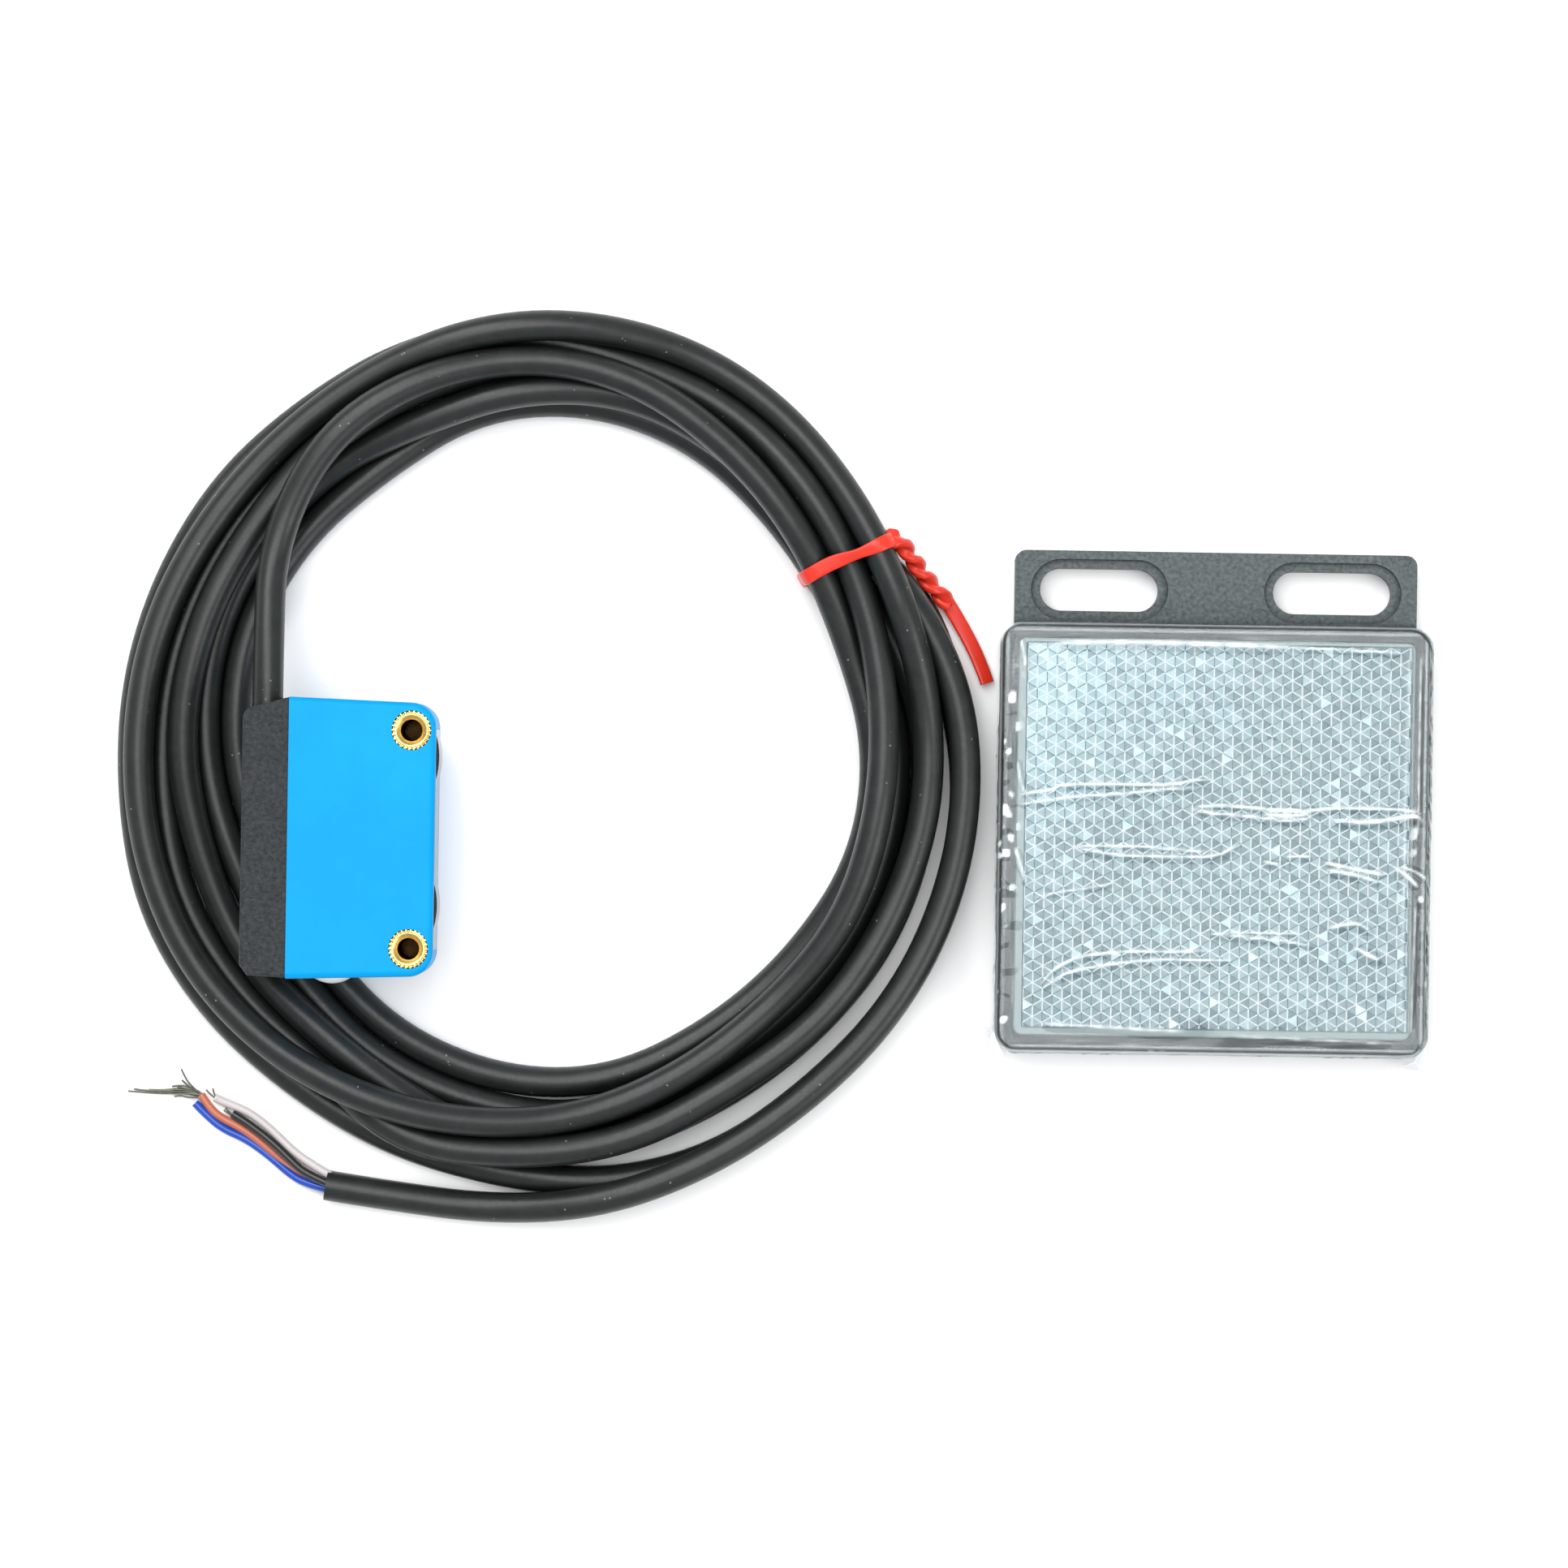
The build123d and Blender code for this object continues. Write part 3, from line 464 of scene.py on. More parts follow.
M_BLUE = moulded("blue_shell", (0.0, 0.292, 0.66), 0.38, grain=2600.0, depth=0.00003, strength=0.28, var=0.09, spec=0.09, wide=70.0)
# the cover colour carries painted shade in its corners and recesses (ambient-occlusion darkening)
M_COVER = moulded("cover_black", (0.020, 0.024, 0.027), 0.44, grain=2900.0, depth=0.00024, strength=1.0, var=0.75, spec=0.28, wide=1900.0, painted_shade_dist=0.0006, painted_shade_floor=0.4)
M_BRASS = metal("brass", (0.80, 0.54, 0.18), 0.28, var=0.30)
# painted shade: a dark brown brass that stands for the shade deep inside the threaded bores
M_BORE_SHADE = metal("brass_bore_painted_shade", (0.10, 0.055, 0.018), 0.45, var=0.5)
M_WIN = clear("window_tint", (0.022, 0.010, 0.014), 0.10, trans=0.08)
M_WIN.node_tree.nodes["Principled BSDF"].inputs["Specular IOR Level"].default_value = 0.06
M_LENS = clear("lens_clear", (0.93, 0.95, 0.97), 0.03)
M_POL = clear("polariser", (0.35, 0.34, 0.38), 0.08)
M_DOME = moulded("milky", (0.80, 0.83, 0.84), 0.22, grain=1500.0, depth=0.00001, strength=0.1, var=0.05, spec=0.6)
M_BLACK = moulded("inner_black", (0.02, 0.02, 0.02), 0.6, grain=4000.0, strength=0.3)
M_PCB = moulded("solder_mask", (0.02, 0.14, 0.05), 0.35, grain=5000.0, strength=0.2, var=0.2)
M_CHIP = moulded("chip", (0.03, 0.03, 0.032), 0.5, grain=6000.0, strength=0.3)
M_LED = clear("emitter_red", (0.85, 0.12, 0.08), 0.08)
M_LAMP = moulded("lamp", (0.80, 0.72, 0.30), 0.3, grain=4000.0, strength=0.1)
M_POT = moulded("pot_body", (0.72, 0.70, 0.62), 0.45, grain=4000.0, strength=0.2)
M_SPIN = moulded("spindle", (0.82, 0.80, 0.74), 0.38, grain=5000.0, strength=0.25)
M_SEAL = moulded("seal", (0.02, 0.02, 0.02), 0.65, grain=4000.0, strength=0.3)
# the tray colour carries strong painted shade in its slots, steps and corners (ambient-occlusion darkening)
M_TRAY = moulded("tray", (0.068, 0.083, 0.087), 0.50, grain=2300.0, depth=0.00012, strength=0.8, var=0.60, spec=0.32, wide=2000.0, painted_shade_dist=0.0010, painted_shade_floor=0.18)
for nm, mt in {"housing_shell": M_BLUE, "rear_cover": M_COVER, "threaded_inserts": M_BRASS, "front_window": M_WIN,
               "sender_lens": M_LENS, "receiver_lens": M_LENS, "sender_polariser": M_POL, "receiver_polariser": M_POL,
               "indicator_window": M_DOME, "optics_carrier": M_BLACK, "circuit_board": M_PCB, "evaluation_chip": M_CHIP,
               "output_transistor": M_CHIP, "receiver_photodiode": M_CHIP, "sender_led": M_LED, "indicator_lamps": M_LAMP,
               "adjuster_potentiometer": M_POT, "adjuster_spindle": M_SPIN, "adjuster_seal": M_SEAL, "cable_seal": M_SEAL,
               "cable_clamp": M_BLACK, "cable_end": M_JACKET, "inner_cores": CORE_MATS["core_brown"],
               "reflector_housing": M_TRAY}.items():
    paint(nm, mt)

# ------------------------------------------------------------------ prism plate: corner-cube field with painted facet light in its vertex colours
plo, phi = [Vector(p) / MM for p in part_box("prism_plate")]
PX0, PY0, PX1, PY1 = plo.x + 1.15, plo.y + 1.05, phi.x - 0.45, phi.y - 0.60
PZ = phi.z
PITCH = 2.305
RH = PITCH / math.sqrt(3)
bm = bmesh.new()
facet_light_layer = bm.loops.layers.color.new("painted_facet_light")
def inset(tri, offs):
    # tri: three 2D points, offs: distance of the three edges (01, 12, 20); returns the inner triangle
    lines = []
    cen = sum((Vector(p) for p in tri), Vector((0, 0))) / 3
    for (i, j), d in zip(((0, 1), (1, 2), (2, 0)), offs):
        p, q = Vector(tri[i]), Vector(tri[j])
        t = (q - p).normalized(); nrm = Vector((-t.y, t.x))
        if (cen - p).dot(nrm) < 0:
            nrm = -nrm
        lines.append((p + nrm * d, t))
    pts = []
    for a, b in ((2, 0), (0, 1), (1, 2)):
        p, t = lines[a]; q, u = lines[b]
        det = t.x * (-u.y) + u.x * t.y
        r = q - p
        k = (r.x * (-u.y) + u.x * r.y) / det
        pts.append(p + t * k)
    return pts
random.seed(3)
rows = int((PY1 - PY0) / (PITCH * 0.8660254)) + 3
cols = int((PX1 - PX0) / PITCH) + 3
for rI in range(rows):
    for cI in range(cols):
        cx = PX0 + (cI - 0.5 + (0.5 if rI % 2 else 0.0)) * PITCH
        cy = PY1 - rI * PITCH * 0.8660254
        c = Vector((cx, cy))
        # painted light: facets grow lighter towards the upper left (a painted brightness gradient), on top of a random
        # tone per hexagon
        g = 0.5 * (PX1 - cx) / (PX1 - PX0) + 0.5 * (cy - PY0) / (PY1 - PY0)
        tone_and_painted_gradient = random.uniform(-0.04, 0.05) + 0.26 * max(0.0, g - 0.60) / 0.40
        spoke_highlight = 0.85 + 0.15 * random.random()
        cor = [c + Vector((math.cos(math.radians(30 + 60 * k)), math.sin(math.radians(30 + 60 * k)))) * RH for k in range(6)]
        for k in range(6):
            a, b = cor[k], cor[(k + 1) % 6]
            inn = inset([c, a, b], (0.085, 0.055, 0.085))
            deep = 0.16 if k % 2 else 0.10
            zi = (-0.24 - deep, -deep, -deep)
            outer = [bm.verts.new((p.x, p.y, PZ - (0.05 if i else 0.16))) for i, p in enumerate((c, a, b))]
            inner = [bm.verts.new((p.x, p.y, PZ + z)) for p, z in zip(inn, zi)]
            f = bm.faces.new(inner)
            # each facet's value is a random tone plus painted light and shade: the painted gradient, and a painted
            # shade that differs with the facet's direction (k)
            facet_tone_and_painted_light = 0.15 + tone_and_painted_gradient + (0.08 if k % 2 else 0.0) + (0.06 if k in (1, 2) else 0) + random.uniform(-0.05, 0.07)
            # painted glints: a few random facets, more of them towards the lower right, get a painted white highlight
            low = max(0.0, 0.9 - 1.1 * g)
            if random.random() < 0.01 + 0.06 * low:
                facet_tone_and_painted_light = random.uniform(0.36, 0.62)
            for l in f.loops:
                l[facet_light_layer] = (facet_tone_and_painted_light, facet_tone_and_painted_light, facet_tone_and_painted_light, 1)
            for i in range(3):
                j = (i + 1) % 3
                f = bm.faces.new((outer[i], outer[j], inner[j], inner[i]))
                # spoke faces: the hexagon's outer edge is painted dark, the two spokes are painted highlights,
                # brightest at the centre
                if i == 1:
                    vals = [0.0 + 0.12 * random.random()] * 4
                else:
                    near, far = spoke_highlight, 0.58 + 0.2 * random.random()
                    vals = [near if q == 0 else far for q in (i, j, j, i)]
                for l in f.loops:
                    q = (outer[i], outer[j], inner[j], inner[i]).index(l.vert)
                    l[facet_light_layer] = (vals[q], vals[q], vals[q], 1)
bmesh.ops.remove_doubles(bm, verts=bm.verts, dist=0.002)
for co, no in (((PX0, 0, 0), (-1, 0, 0)), ((PX1, 0, 0), (1, 0, 0)), ((0, PY0, 0), (0, -1, 0)), ((0, PY1, 0), (0, 1, 0))):
    geom = bm.verts[:] + bm.edges[:] + bm.faces[:]
    bmesh.ops.bisect_plane(bm, geom=geom, plane_co=co, plane_no=no, clear_outer=True, dist=0.001)
bmesh.ops.recalc_face_normals(bm, faces=bm.faces)
if sum(f.normal.z for f in bm.faces) < 0:
    bmesh.ops.reverse_faces(bm, faces=bm.faces)
for v in bm.verts:
    v.co *= MM
me = bpy.data.meshes.new("prism_field")
bm.to_mesh(me); bm.free()
prism = bpy.data.objects.new("prism_field", me)
scene.collection.objects.link(prism)
mp, nt, b, tc, out = base_mat("prism_clear")
at = nt.nodes.new("ShaderNodeVertexColor"); at.layer_name = "painted_facet_light"
big = noise_tex(nt, tc, 60.0, 2.0)
# the ramp turns the painted facet light into colour, from painted shade through pale blue to white highlight
cr = ramp(nt, at.outputs[0], [(0.0, (0.12, 0.17, 0.19)), (0.12, (0.38, 0.49, 0.53)), (0.30, (0.64, 0.77, 0.79)), (0.5, (0.84, 0.94, 0.95)), (0.8, (1.0, 1.0, 1.0)), (1.0, (1.0, 1.0, 1.0))])
mx = nt.nodes.new("ShaderNodeMix"); mx.data_type = "RGBA"; mx.blend_type = "MULTIPLY"
mx.inputs[0].default_value = 0.35
nt.links.new(cr, mx.inputs[6])
nt.links.new(ramp(nt, big, [(0.3, (0.80, 0.86, 0.90)), (0.7, (1, 1, 1))]), mx.inputs[7])
nt.links.new(mx.outputs[2], b.inputs["Base Color"])
rg = nt.nodes.new("ShaderNodeMapRange"); nt.links.new(noise_tex(nt, tc, 1500.0), rg.inputs[0])
rg.inputs[3].default_value = 0.12; rg.inputs[4].default_value = 0.24
nt.links.new(rg.outputs[0], b.inputs["Roughness"])
b.inputs["Specular IOR Level"].default_value = 0.4
b.inputs["Coat Weight"].default_value = 0.25
b.inputs["Coat Roughness"].default_value = 0.05
prism.data.materials.append(mp)
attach(prism, "reflector")
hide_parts("prism_plate")

# smooth rim of the plate round the field, with a small bevel
def ring_mesh(name, x0, y0, x1, y1, ix0, iy0, ix1, iy1, ztop, zbot, bevel, mat, body, rr=1.0):
    def rrect(x0, y0, x1, y1, r, z, seg=6):
        pts = []
        for (cx, cy, a0) in ((x1 - r, y1 - r, 0), (x0 + r, y1 - r, 90), (x0 + r, y0 + r, 180), (x1 - r, y0 + r, 270)):
            for k in range(seg + 1):
                a = math.radians(a0 + 90 * k / seg)
                pts.append((cx + r * math.cos(a), cy + r * math.sin(a), z))
        return pts
    loops = [rrect(x0, y0, x1, y1, rr, zbot), rrect(x0, y0, x1, y1, rr, ztop - bevel),
             rrect(x0 + bevel, y0 + bevel, x1 - bevel, y1 - bevel, max(0.05, rr - bevel), ztop),
             rrect(ix0 - bevel, iy0 - bevel, ix1 + bevel, iy1 + bevel, 0.2, ztop),
             rrect(ix0, iy0, ix1, iy1, 0.12, ztop - bevel), rrect(ix0, iy0, ix1, iy1, 0.12, zbot)]
    vs = [Vector(p) * MM for l in loops for p in l]
    m = len(loops[0]); fs = []
    for a in range(len(loops)):
        c = (a + 1) % len(loops)
        for k in range(m):
            l = (k + 1) % m
            fs.append((a * m + k, a * m + l, c * m + l, c * m + k))
    return mesh_obj(name, vs, fs, mat, body, smooth=35)


M_RIM = moulded("prism_rim", (0.20, 0.26, 0.27), 0.20, grain=1200.0, depth=0.00001, strength=0.1, var=0.06, spec=0.6)
rim = ring_mesh("prism_border", plo.x + 0.02, plo.y + 0.02, phi.x - 0.02, phi.y - 0.02, PX0, PY0, PX1, PY1, PZ - 0.01, PZ - 1.2, 0.18, M_RIM, "reflector")

# ------------------------------------------------------------------ floor, light
floor_me = bpy.data.meshes.new("floor")
S = 3.0
floor_me.from_pydata([(-S, -S, 0), (S, -S, 0), (S, S, 0), (-S, S, 0)], [], [(0, 1, 2, 3)])
floor = bpy.data.objects.new("floor", floor_me)
scene.collection.objects.link(floor)
fm, nt, b, tc, out = base_mat("floor")
nt.links.new(ramp(nt, noise_tex(nt, tc, 8.0, 2.0), [(0.2, (0.965, 0.965, 0.965)), (0.8, (0.98, 0.98, 0.98))]), b.inputs["Base Color"])
b.inputs["Roughness"].default_value = 0.9
b.inputs["Specular IOR Level"].default_value = 0.1
floor_me.materials.append(fm)

def area(name, loc, target, size, power, color=(1, 1, 1), sy=None):
    l = bpy.data.lights.new(name, "AREA")
    l.shape = "RECTANGLE"; l.size = size; l.size_y = sy or size
    l.energy = power; l.color = color
    o = bpy.data.objects.new(name, l)
    scene.collection.objects.link(o)
    o.location = loc
    o.rotation_euler = (Vector(target) - Vector(loc)).to_track_quat("-Z", "Y").to_euler()
    return o


area("key", (-0.55, 0.75, 1.05), (0, 0, 0), 0.7, 9.5)
area("fill", (0.85, -0.45, 0.9), (0, 0, 0), 0.7, 6.5)
area("top", (-0.1, 0.25, 1.6), (0, 0, 0), 1.0, 15.0)
w = bpy.data.worlds.new("world"); scene.world = w
w.use_nodes = True
w.node_tree.nodes["Background"].inputs[0].default_value = (0.97, 0.985, 1.0, 1)
w.node_tree.nodes["Background"].inputs[1].default_value = 0.62
scene.view_settings.view_transform = "Standard"
scene.view_settings.look = "None"

# ------------------------------------------------------------------ film (clear sleeve)
import numpy as np

# crease lines in plan: (width, strength, points); each gives a real raised ridge and a painted white highlight line
# along its crest
CREASES = [
    (0.24, 1.00, [(21.4, 0.8), (25.0, 1.4), (26.1, 1.9), (31.3, 2.1), (38.7, 2.2), (41.4, 2.7), (43.2, 2.8)]),
    (0.22, 0.90, [(21.4, -0.4), (25.0, 0.2), (27.7, 0.6), (32.9, 1.0), (38.2, 1.6), (41.4, 1.8)]),
    (0.26, 1.00, [(41.4, -0.5), (44.6, -0.2), (49.9, -0.5), (54.1, -0.7), (58.4, -0.3), (63.1, -0.3), (67.3, -0.5), (68.3, -0.9)]),
    (0.22, 0.90, [(41.4, -0.7), (43.6, -1.1), (47.8, -1.4), (52.0, -1.8), (54.7, -1.6), (55.5, -1.1)]),
    (0.30, 1.00, [(49.9, -0.8), (52.0, -0.6), (54.1, -0.7), (54.8, -1.0), (52.6, -1.3), (49.9, -1.1)]),
    (0.36, 1.00, [(58.4, -1.7), (61.0, -1.9), (63.7, -1.7), (67.4, -1.1), (68.5, -1.8)]),
    (0.20, 0.80, [(28.0, -5.2), (32.0, -5.1), (36.2, -5.2), (40.5, -5.5), (43.1, -5.7)]),
    (0.22, 0.90, [(28.0, -5.4), (32.0, -6.1), (36.8, -6.3), (41.5, -6.3), (44.7, -5.9), (47.0, -4.4)]),
    (0.30, 1.00, [(57.1, -6.7), (60.0, -7.3), (63.9, -8.0)]),
    (0.30, 1.00, [(57.4, -7.6), (60.6, -8.1), (63.4, -8.9)]),
    (0.34, 1.00, [(65.3, -7.2), (66.9, -8.3), (67.9, -9.3)]),
    (0.26, 0.90, [(66.1, -7.0), (68.0, -7.8), (69.0, -8.5)]),
    (0.18, 0.60, [(23.1, -11.3), (25.7, -10.7), (28.9, -10.2), (32.2, -9.5)]),
    (0.20, 0.80, [(43.8, -15.2), (48.0, -15.6), (52.3, -16.0), (55.5, -16.5)]),
    (0.18, 0.70, [(44.8, -14.9), (50.1, -15.1), (54.4, -15.1)]),
    (0.26, 0.90, [(57.6, -14.4), (60.7, -13.8), (62.4, -14.6)]),
    (0.32, 1.00, [(60.6, -16.6), (62.2, -17.4), (63.5, -18.0)]),
    (0.22, 1.00, [(24.0, -21.4), (25.9, -19.4), (29.0, -18.1), (34.3, -17.5), (39.6, -17.4), (43.3, -17.3)]),
    (0.22, 0.95, [(24.3, -21.8), (26.9, -20.2), (31.1, -19.2), (36.4, -18.5), (41.7, -18.4), (46.2, -18.4)]),
    (0.20, 0.80, [(49.9, -6.7), (52.1, -7.1)]),
    (0.22, 0.80, [(52.6, -6.1), (55.3, -6.0)]),
    (0.16, 0.45, [(41.2, 11.3), (41.1, 9.1), (41.2, 6.2)]),
    (0.16, 0.45, [(49.9, 8.3), (51.1, 7.9)]),
    (0.42, 1.00, [(25.0, 18.6), (33.7, 18.8), (44.3, 18.7), (52.2, 18.5)]),
    (0.20, 0.80, [(52.2, 18.5), (58.1, 18.3), (63.4, 18.1), (65.7, 18.0)]),
    (0.20, 0.45, [(66.6, 17.7), (66.5, 6.9), (66.4, -3.7), (66.3, -17.4), (66.3, -26.4)]),
    (0.22, 0.55, [(68.0, 17.5), (67.9, 6.9), (68.0, -2.6)]),
    (0.22, 0.50, [(67.8, -11.1), (67.6, -19.5), (67.5, -26.4)]),
    (0.30, 0.70, [(23.9, -26.1), (29.1, -26.3), (36.0, -26.6), (40.8, -26.8)]),
    (0.26, 0.50, [(46.1, -27.2), (52.4, -27.4), (58.8, -27.6), (65.1, -27.8)]),
    (0.26, 0.80, [(21.0, 18.9), (21.4, 17.3), (21.6, 15.7)]),
    (0.26, 0.70, [(20.8, 4.6), (21.3, 2.0), (21.8, 0.9)]),
    (0.30, 0.80, [(20.7, -5.5), (21.4, -7.6), (22.1, -9.7)]),
]
flo, fhi = [Vector(p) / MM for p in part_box("film_wrap")]
FCX, FCY = (flo.x + fhi.x) / 2, (flo.y + fhi.y) / 2
HX, HY = (fhi.x - flo.x) / 2, (fhi.y - flo.y) / 2
RB = 0.7                       # bend radius over the edge
NG = 224
FZ = 8.16
RC = 2.0                       # corner radius of the flat part
wx, wy = HX - RB, HY - RB
gu = np.linspace(-1, 1, NG + 1)
U, V = np.meshgrid(gu, gu, indexing="ij")
X, Y = U * wx, V * wy


def round_corner(X, Y):
    ax, ay = np.abs(X), np.abs(Y)
    dx, dy = (ax - (wx - RC)) / RC, (ay - (wy - RC)) / RC
    inside = (dx > 0) & (dy > 0)
    dxm = np.clip(dx, 0, 1); dym = np.clip(dy, 0, 1)
    nx = dxm * np.sqrt(1 - dym ** 2 / 2); ny = dym * np.sqrt(1 - dxm ** 2 / 2)
    ax = np.where(inside, wx - RC + nx * RC, ax)
    ay = np.where(inside, wy - RC + ny * RC, ay)
    return np.sign(X) * ax, np.sign(Y) * ay


X, Y = round_corner(X, Y)


def wave(x, y, sx, sy, seed):
    """smooth repeatable undulation, roughly -1..1"""
    r = np.random.RandomState(seed)
    out = np.zeros_like(x)
    for k in range(7):
        a, b, p = r.uniform(0.5, 1.6), r.uniform(0.5, 1.6), r.uniform(0, 6.28)
        g = r.choice([-1, 1])
        out = out + np.sin(x * sx * a + g * y * sy * b + p)
    return out / 4.0


def crease_glare_and_ridge_at(x, y):
    """painted highlight strength along the crease lines, and real ridge height, at plan points"""
    val = np.zeros_like(x); hgt = np.zeros_like(x)
    for q, (w_, k_, pts) in enumerate(CREASES):
        best = np.full(x.shape, 1e9); along = np.zeros_like(x)
        acc = 0.0
        P = smooth_path([(a, b, 0.0) for a, b in pts], 5)
        for i in range(len(P) - 1):
            ax_, ay_, bx_, by_ = P[i].x, P[i].y, P[i + 1].x, P[i + 1].y
            dx_, dy_ = bx_ - ax_, by_ - ay_
            L2 = dx_ * dx_ + dy_ * dy_ + 1e-12
            t = np.clip(((x - ax_) * dx_ + (y - ay_) * dy_) / L2, 0, 1)
            d = np.hypot(x - ax_ - t * dx_, y - ay_ - t * dy_)
            m_ = d < best
            best = np.where(m_, d, best); along = np.where(m_, acc + t * math.sqrt(L2), along)
            acc += math.sqrt(L2)
        taper = np.clip(np.minimum(along, acc - along) / (0.12 * acc) + 0.25, 0, 1)
        vary = 0.72 + 0.28 * np.sin(along * 2.1 + q) * np.sin(along * 0.77 + 2 * q)
        prof = np.exp(-(best / (0.62 * w_ * (0.55 + 0.45 * taper))) ** 2)
        val = np.maximum(val, k_ * prof * vary * (0.4 + 0.6 * taper))
        hgt = np.maximum(hgt, 0.16 * k_ * np.exp(-(best / (1.6 * w_)) ** 2) * taper)
    return val, hgt


rx, ry = X, Y
val, hgt = crease_glare_and_ridge_at(X + FCX, Y + FCY)
edge = np.clip((np.maximum(np.abs(X) / wx, np.abs(Y) / wy) - 0.90) / 0.10, 0, 1)
left = np.clip((-X - (wx - 2.6)) / 2.6, 0, 1) * np.clip((wy - 3.0 - Y) / 3, 0, 1)
right = np.clip((X - (wx - 2.4)) / 2.4, 0, 1)
Z = FZ + 0.05 * wave(X, Y, 0.10, 0.42, 5) + 0.03 * wave(X, Y, 0.35, 0.9, 8) + hgt
Z = Z + left * 0.16 * np.maximum(0, wave(X, Y, 0.8, 1.5, 11)) + right * 0.05 * np.maximum(0, wave(X, Y, 0.6, 1.2, 12))
Z = np.maximum(Z, 8.0)
# painted glints: white specks on the crumpled film near the left and right sides of the top
left_crumple_glints = left * np.clip(wave(X, Y, 0.7, 2.3, 21) * wave(X, Y, 2.4, 0.9, 22) * 5.0 - 0.9, 0, 1)
right_crumple_glints = right * np.clip(wave(X, Y, 1.2, 1.6, 31) * wave(X, Y, 2.2, 1.0, 32) * 4.5 - 1.2, 0, 1) * np.clip((10 - np.abs(Y + 2)) / 5, 0, 1)
rho = np.maximum(np.abs(X) / wx, np.abs(Y) / wy)
run = np.where(np.abs(X) / wx > np.abs(Y) / wy, Y, X)
acr = np.where(np.abs(X) / wx > np.abs(Y) / wy, X, Y)
# painted highlights: streaks in a band along the top's outer edge, and a painted highlight line along the fold over the
# edge
edge_glare_band = np.clip((rho - 0.93) / 0.01, 0, 1)
edge_glare_streaks = 0.5 + 0.5 * wave(run, acr, 0.5, 5.5, 61) * wave(run, acr, 0.23, 9.0, 62)
val = np.maximum(val, edge_glare_band * (0.0 + 0.30 * np.clip(edge_glare_streaks, 0, 1) ** 2.5))
val = np.maximum(val, (0.32 - 0.16 * left) * np.exp(-((rho - 0.993) / 0.007) ** 2))
val = np.maximum(val, np.maximum(left_crumple_glints, right_crumple_glints))
vs = np.stack([X + FCX, Y + FCY, Z], -1).reshape(-1, 3)
cv = val.reshape(-1)
fs = []
idx = np.arange((NG + 1) ** 2).reshape(NG + 1, NG + 1)
a_, b_, c_, d_ = idx[:-1, :-1].ravel(), idx[1:, :-1].ravel(), idx[1:, 1:].ravel(), idx[:-1, 1:].ravel()
fs += list(zip(a_.tolist(), b_.tolist(), c_.tolist(), d_.tolist()))
# boundary loop, counter-clockwise
loopi = list(idx[:-1, 0]) + list(idx[-1, :-1]) + list(idx[:0:-1, -1]) + list(idx[0, :0:-1])
loopi = [int(i) for i in loopi]
nb = len(loopi)
P = vs[loopi]
T = np.roll(P, -1, 0) - np.roll(P, 1, 0)
Nn = np.stack([T[:, 1], -T[:, 0]], -1)
Nn = Nn / np.linalg.norm(Nn, axis=1)[:, None]
for _ in range(2):
    Nn = (np.roll(Nn, 1, 0) + 2 * Nn + np.roll(Nn, -1, 0)) / 4
    Nn = Nn / np.linalg.norm(Nn, axis=1)[:, None]
arcs = np.concatenate([[0], np.cumsum(np.linalg.norm(np.roll(P, -1, 0) - P, axis=1))])[:-1]
isl = np.clip((-P[:, 0] + FCX - (wx - 1.5)) / 1.5, 0, 1)
calm = np.clip((P[:, 1] - 8.0) / 2.5, 0, 1) * (P[:, 0] < FCX)
isr = np.clip((P[:, 0] - FCX - (wx - 1.5)) / 1.5, 0, 1)
isb = np.clip((-P[:, 1] + FCY - (wy - 1.5)) / 1.5, 0, 1)
ist = np.clip((P[:, 1] - FCY - (wy - 1.5)) / 1.5, 0, 1)
prev = loopi
rings = 24
zlow = 0.35 + 3.45 * np.clip(ist * 2, 0, 1) * (np.abs(P[:, 0] - FCX) < 24.6)
for r_ in range(1, rings + 1):
    if r_ <= 6:
        th = math.pi / 2 * r_ / 6
        off, dz = RB * math.sin(th), np.full(nb, RB * (1 - math.cos(th)))
        f_ = th / (math.pi / 2) * 0.3
    else:
        g_ = (r_ - 6) / (rings - 6)
        off, dz = RB, RB + g_ * (P[:, 2] - RB - zlow)
        f_ = 0.3 + 0.7 * math.sin(math.pi * min(1.0, 0.15 + g_))
    cr = np.abs(wave(arcs, np.full(nb, float(r_)), 1.3, 0.16, 41)) * 0.6 + 0.4 * np.abs(wave(arcs, np.full(nb, float(r_)), 3.1, 0.2, 42))
    amp = 0.05 + 0.26 * isl + 0.16 * isr + 0.12 * isb + 0.05 * ist
    offv = off + f_ * (amp * (1 - calm) + 0.03 * calm) * cr
    ringv = np.stack([P[:, 0] + Nn[:, 0] * offv, P[:, 1] + Nn[:, 1] * offv, P[:, 2] - dz], -1)
    base_ = len(vs)
    vs = np.concatenate([vs, ringv])
    # painted glints on the folded sides (most on the left), and a painted highlight line along the bend over the edge
    sp = np.clip(wave(arcs, np.full(nb, float(r_)), 2.6, 0.5, 51) * wave(arcs, np.full(nb, float(r_)), 1.1, 0.3, 52) * 3 - 0.9, 0, 1)
    side_glare = sp * (0.06 + 0.70 * isl + 0.20 * isb + 0.22 * isr) * 0.8
    side_glare = np.maximum(side_glare, 0.18 if r_ in (3, 4) else 0.0)
    cv = np.concatenate([cv, np.clip(side_glare, 0, 1)])
    for i in range(nb):
        j = (i + 1) % nb
        fs.append((prev[i], base_ + i, base_ + j, prev[j]))
    prev = list(range(base_, base_ + nb))
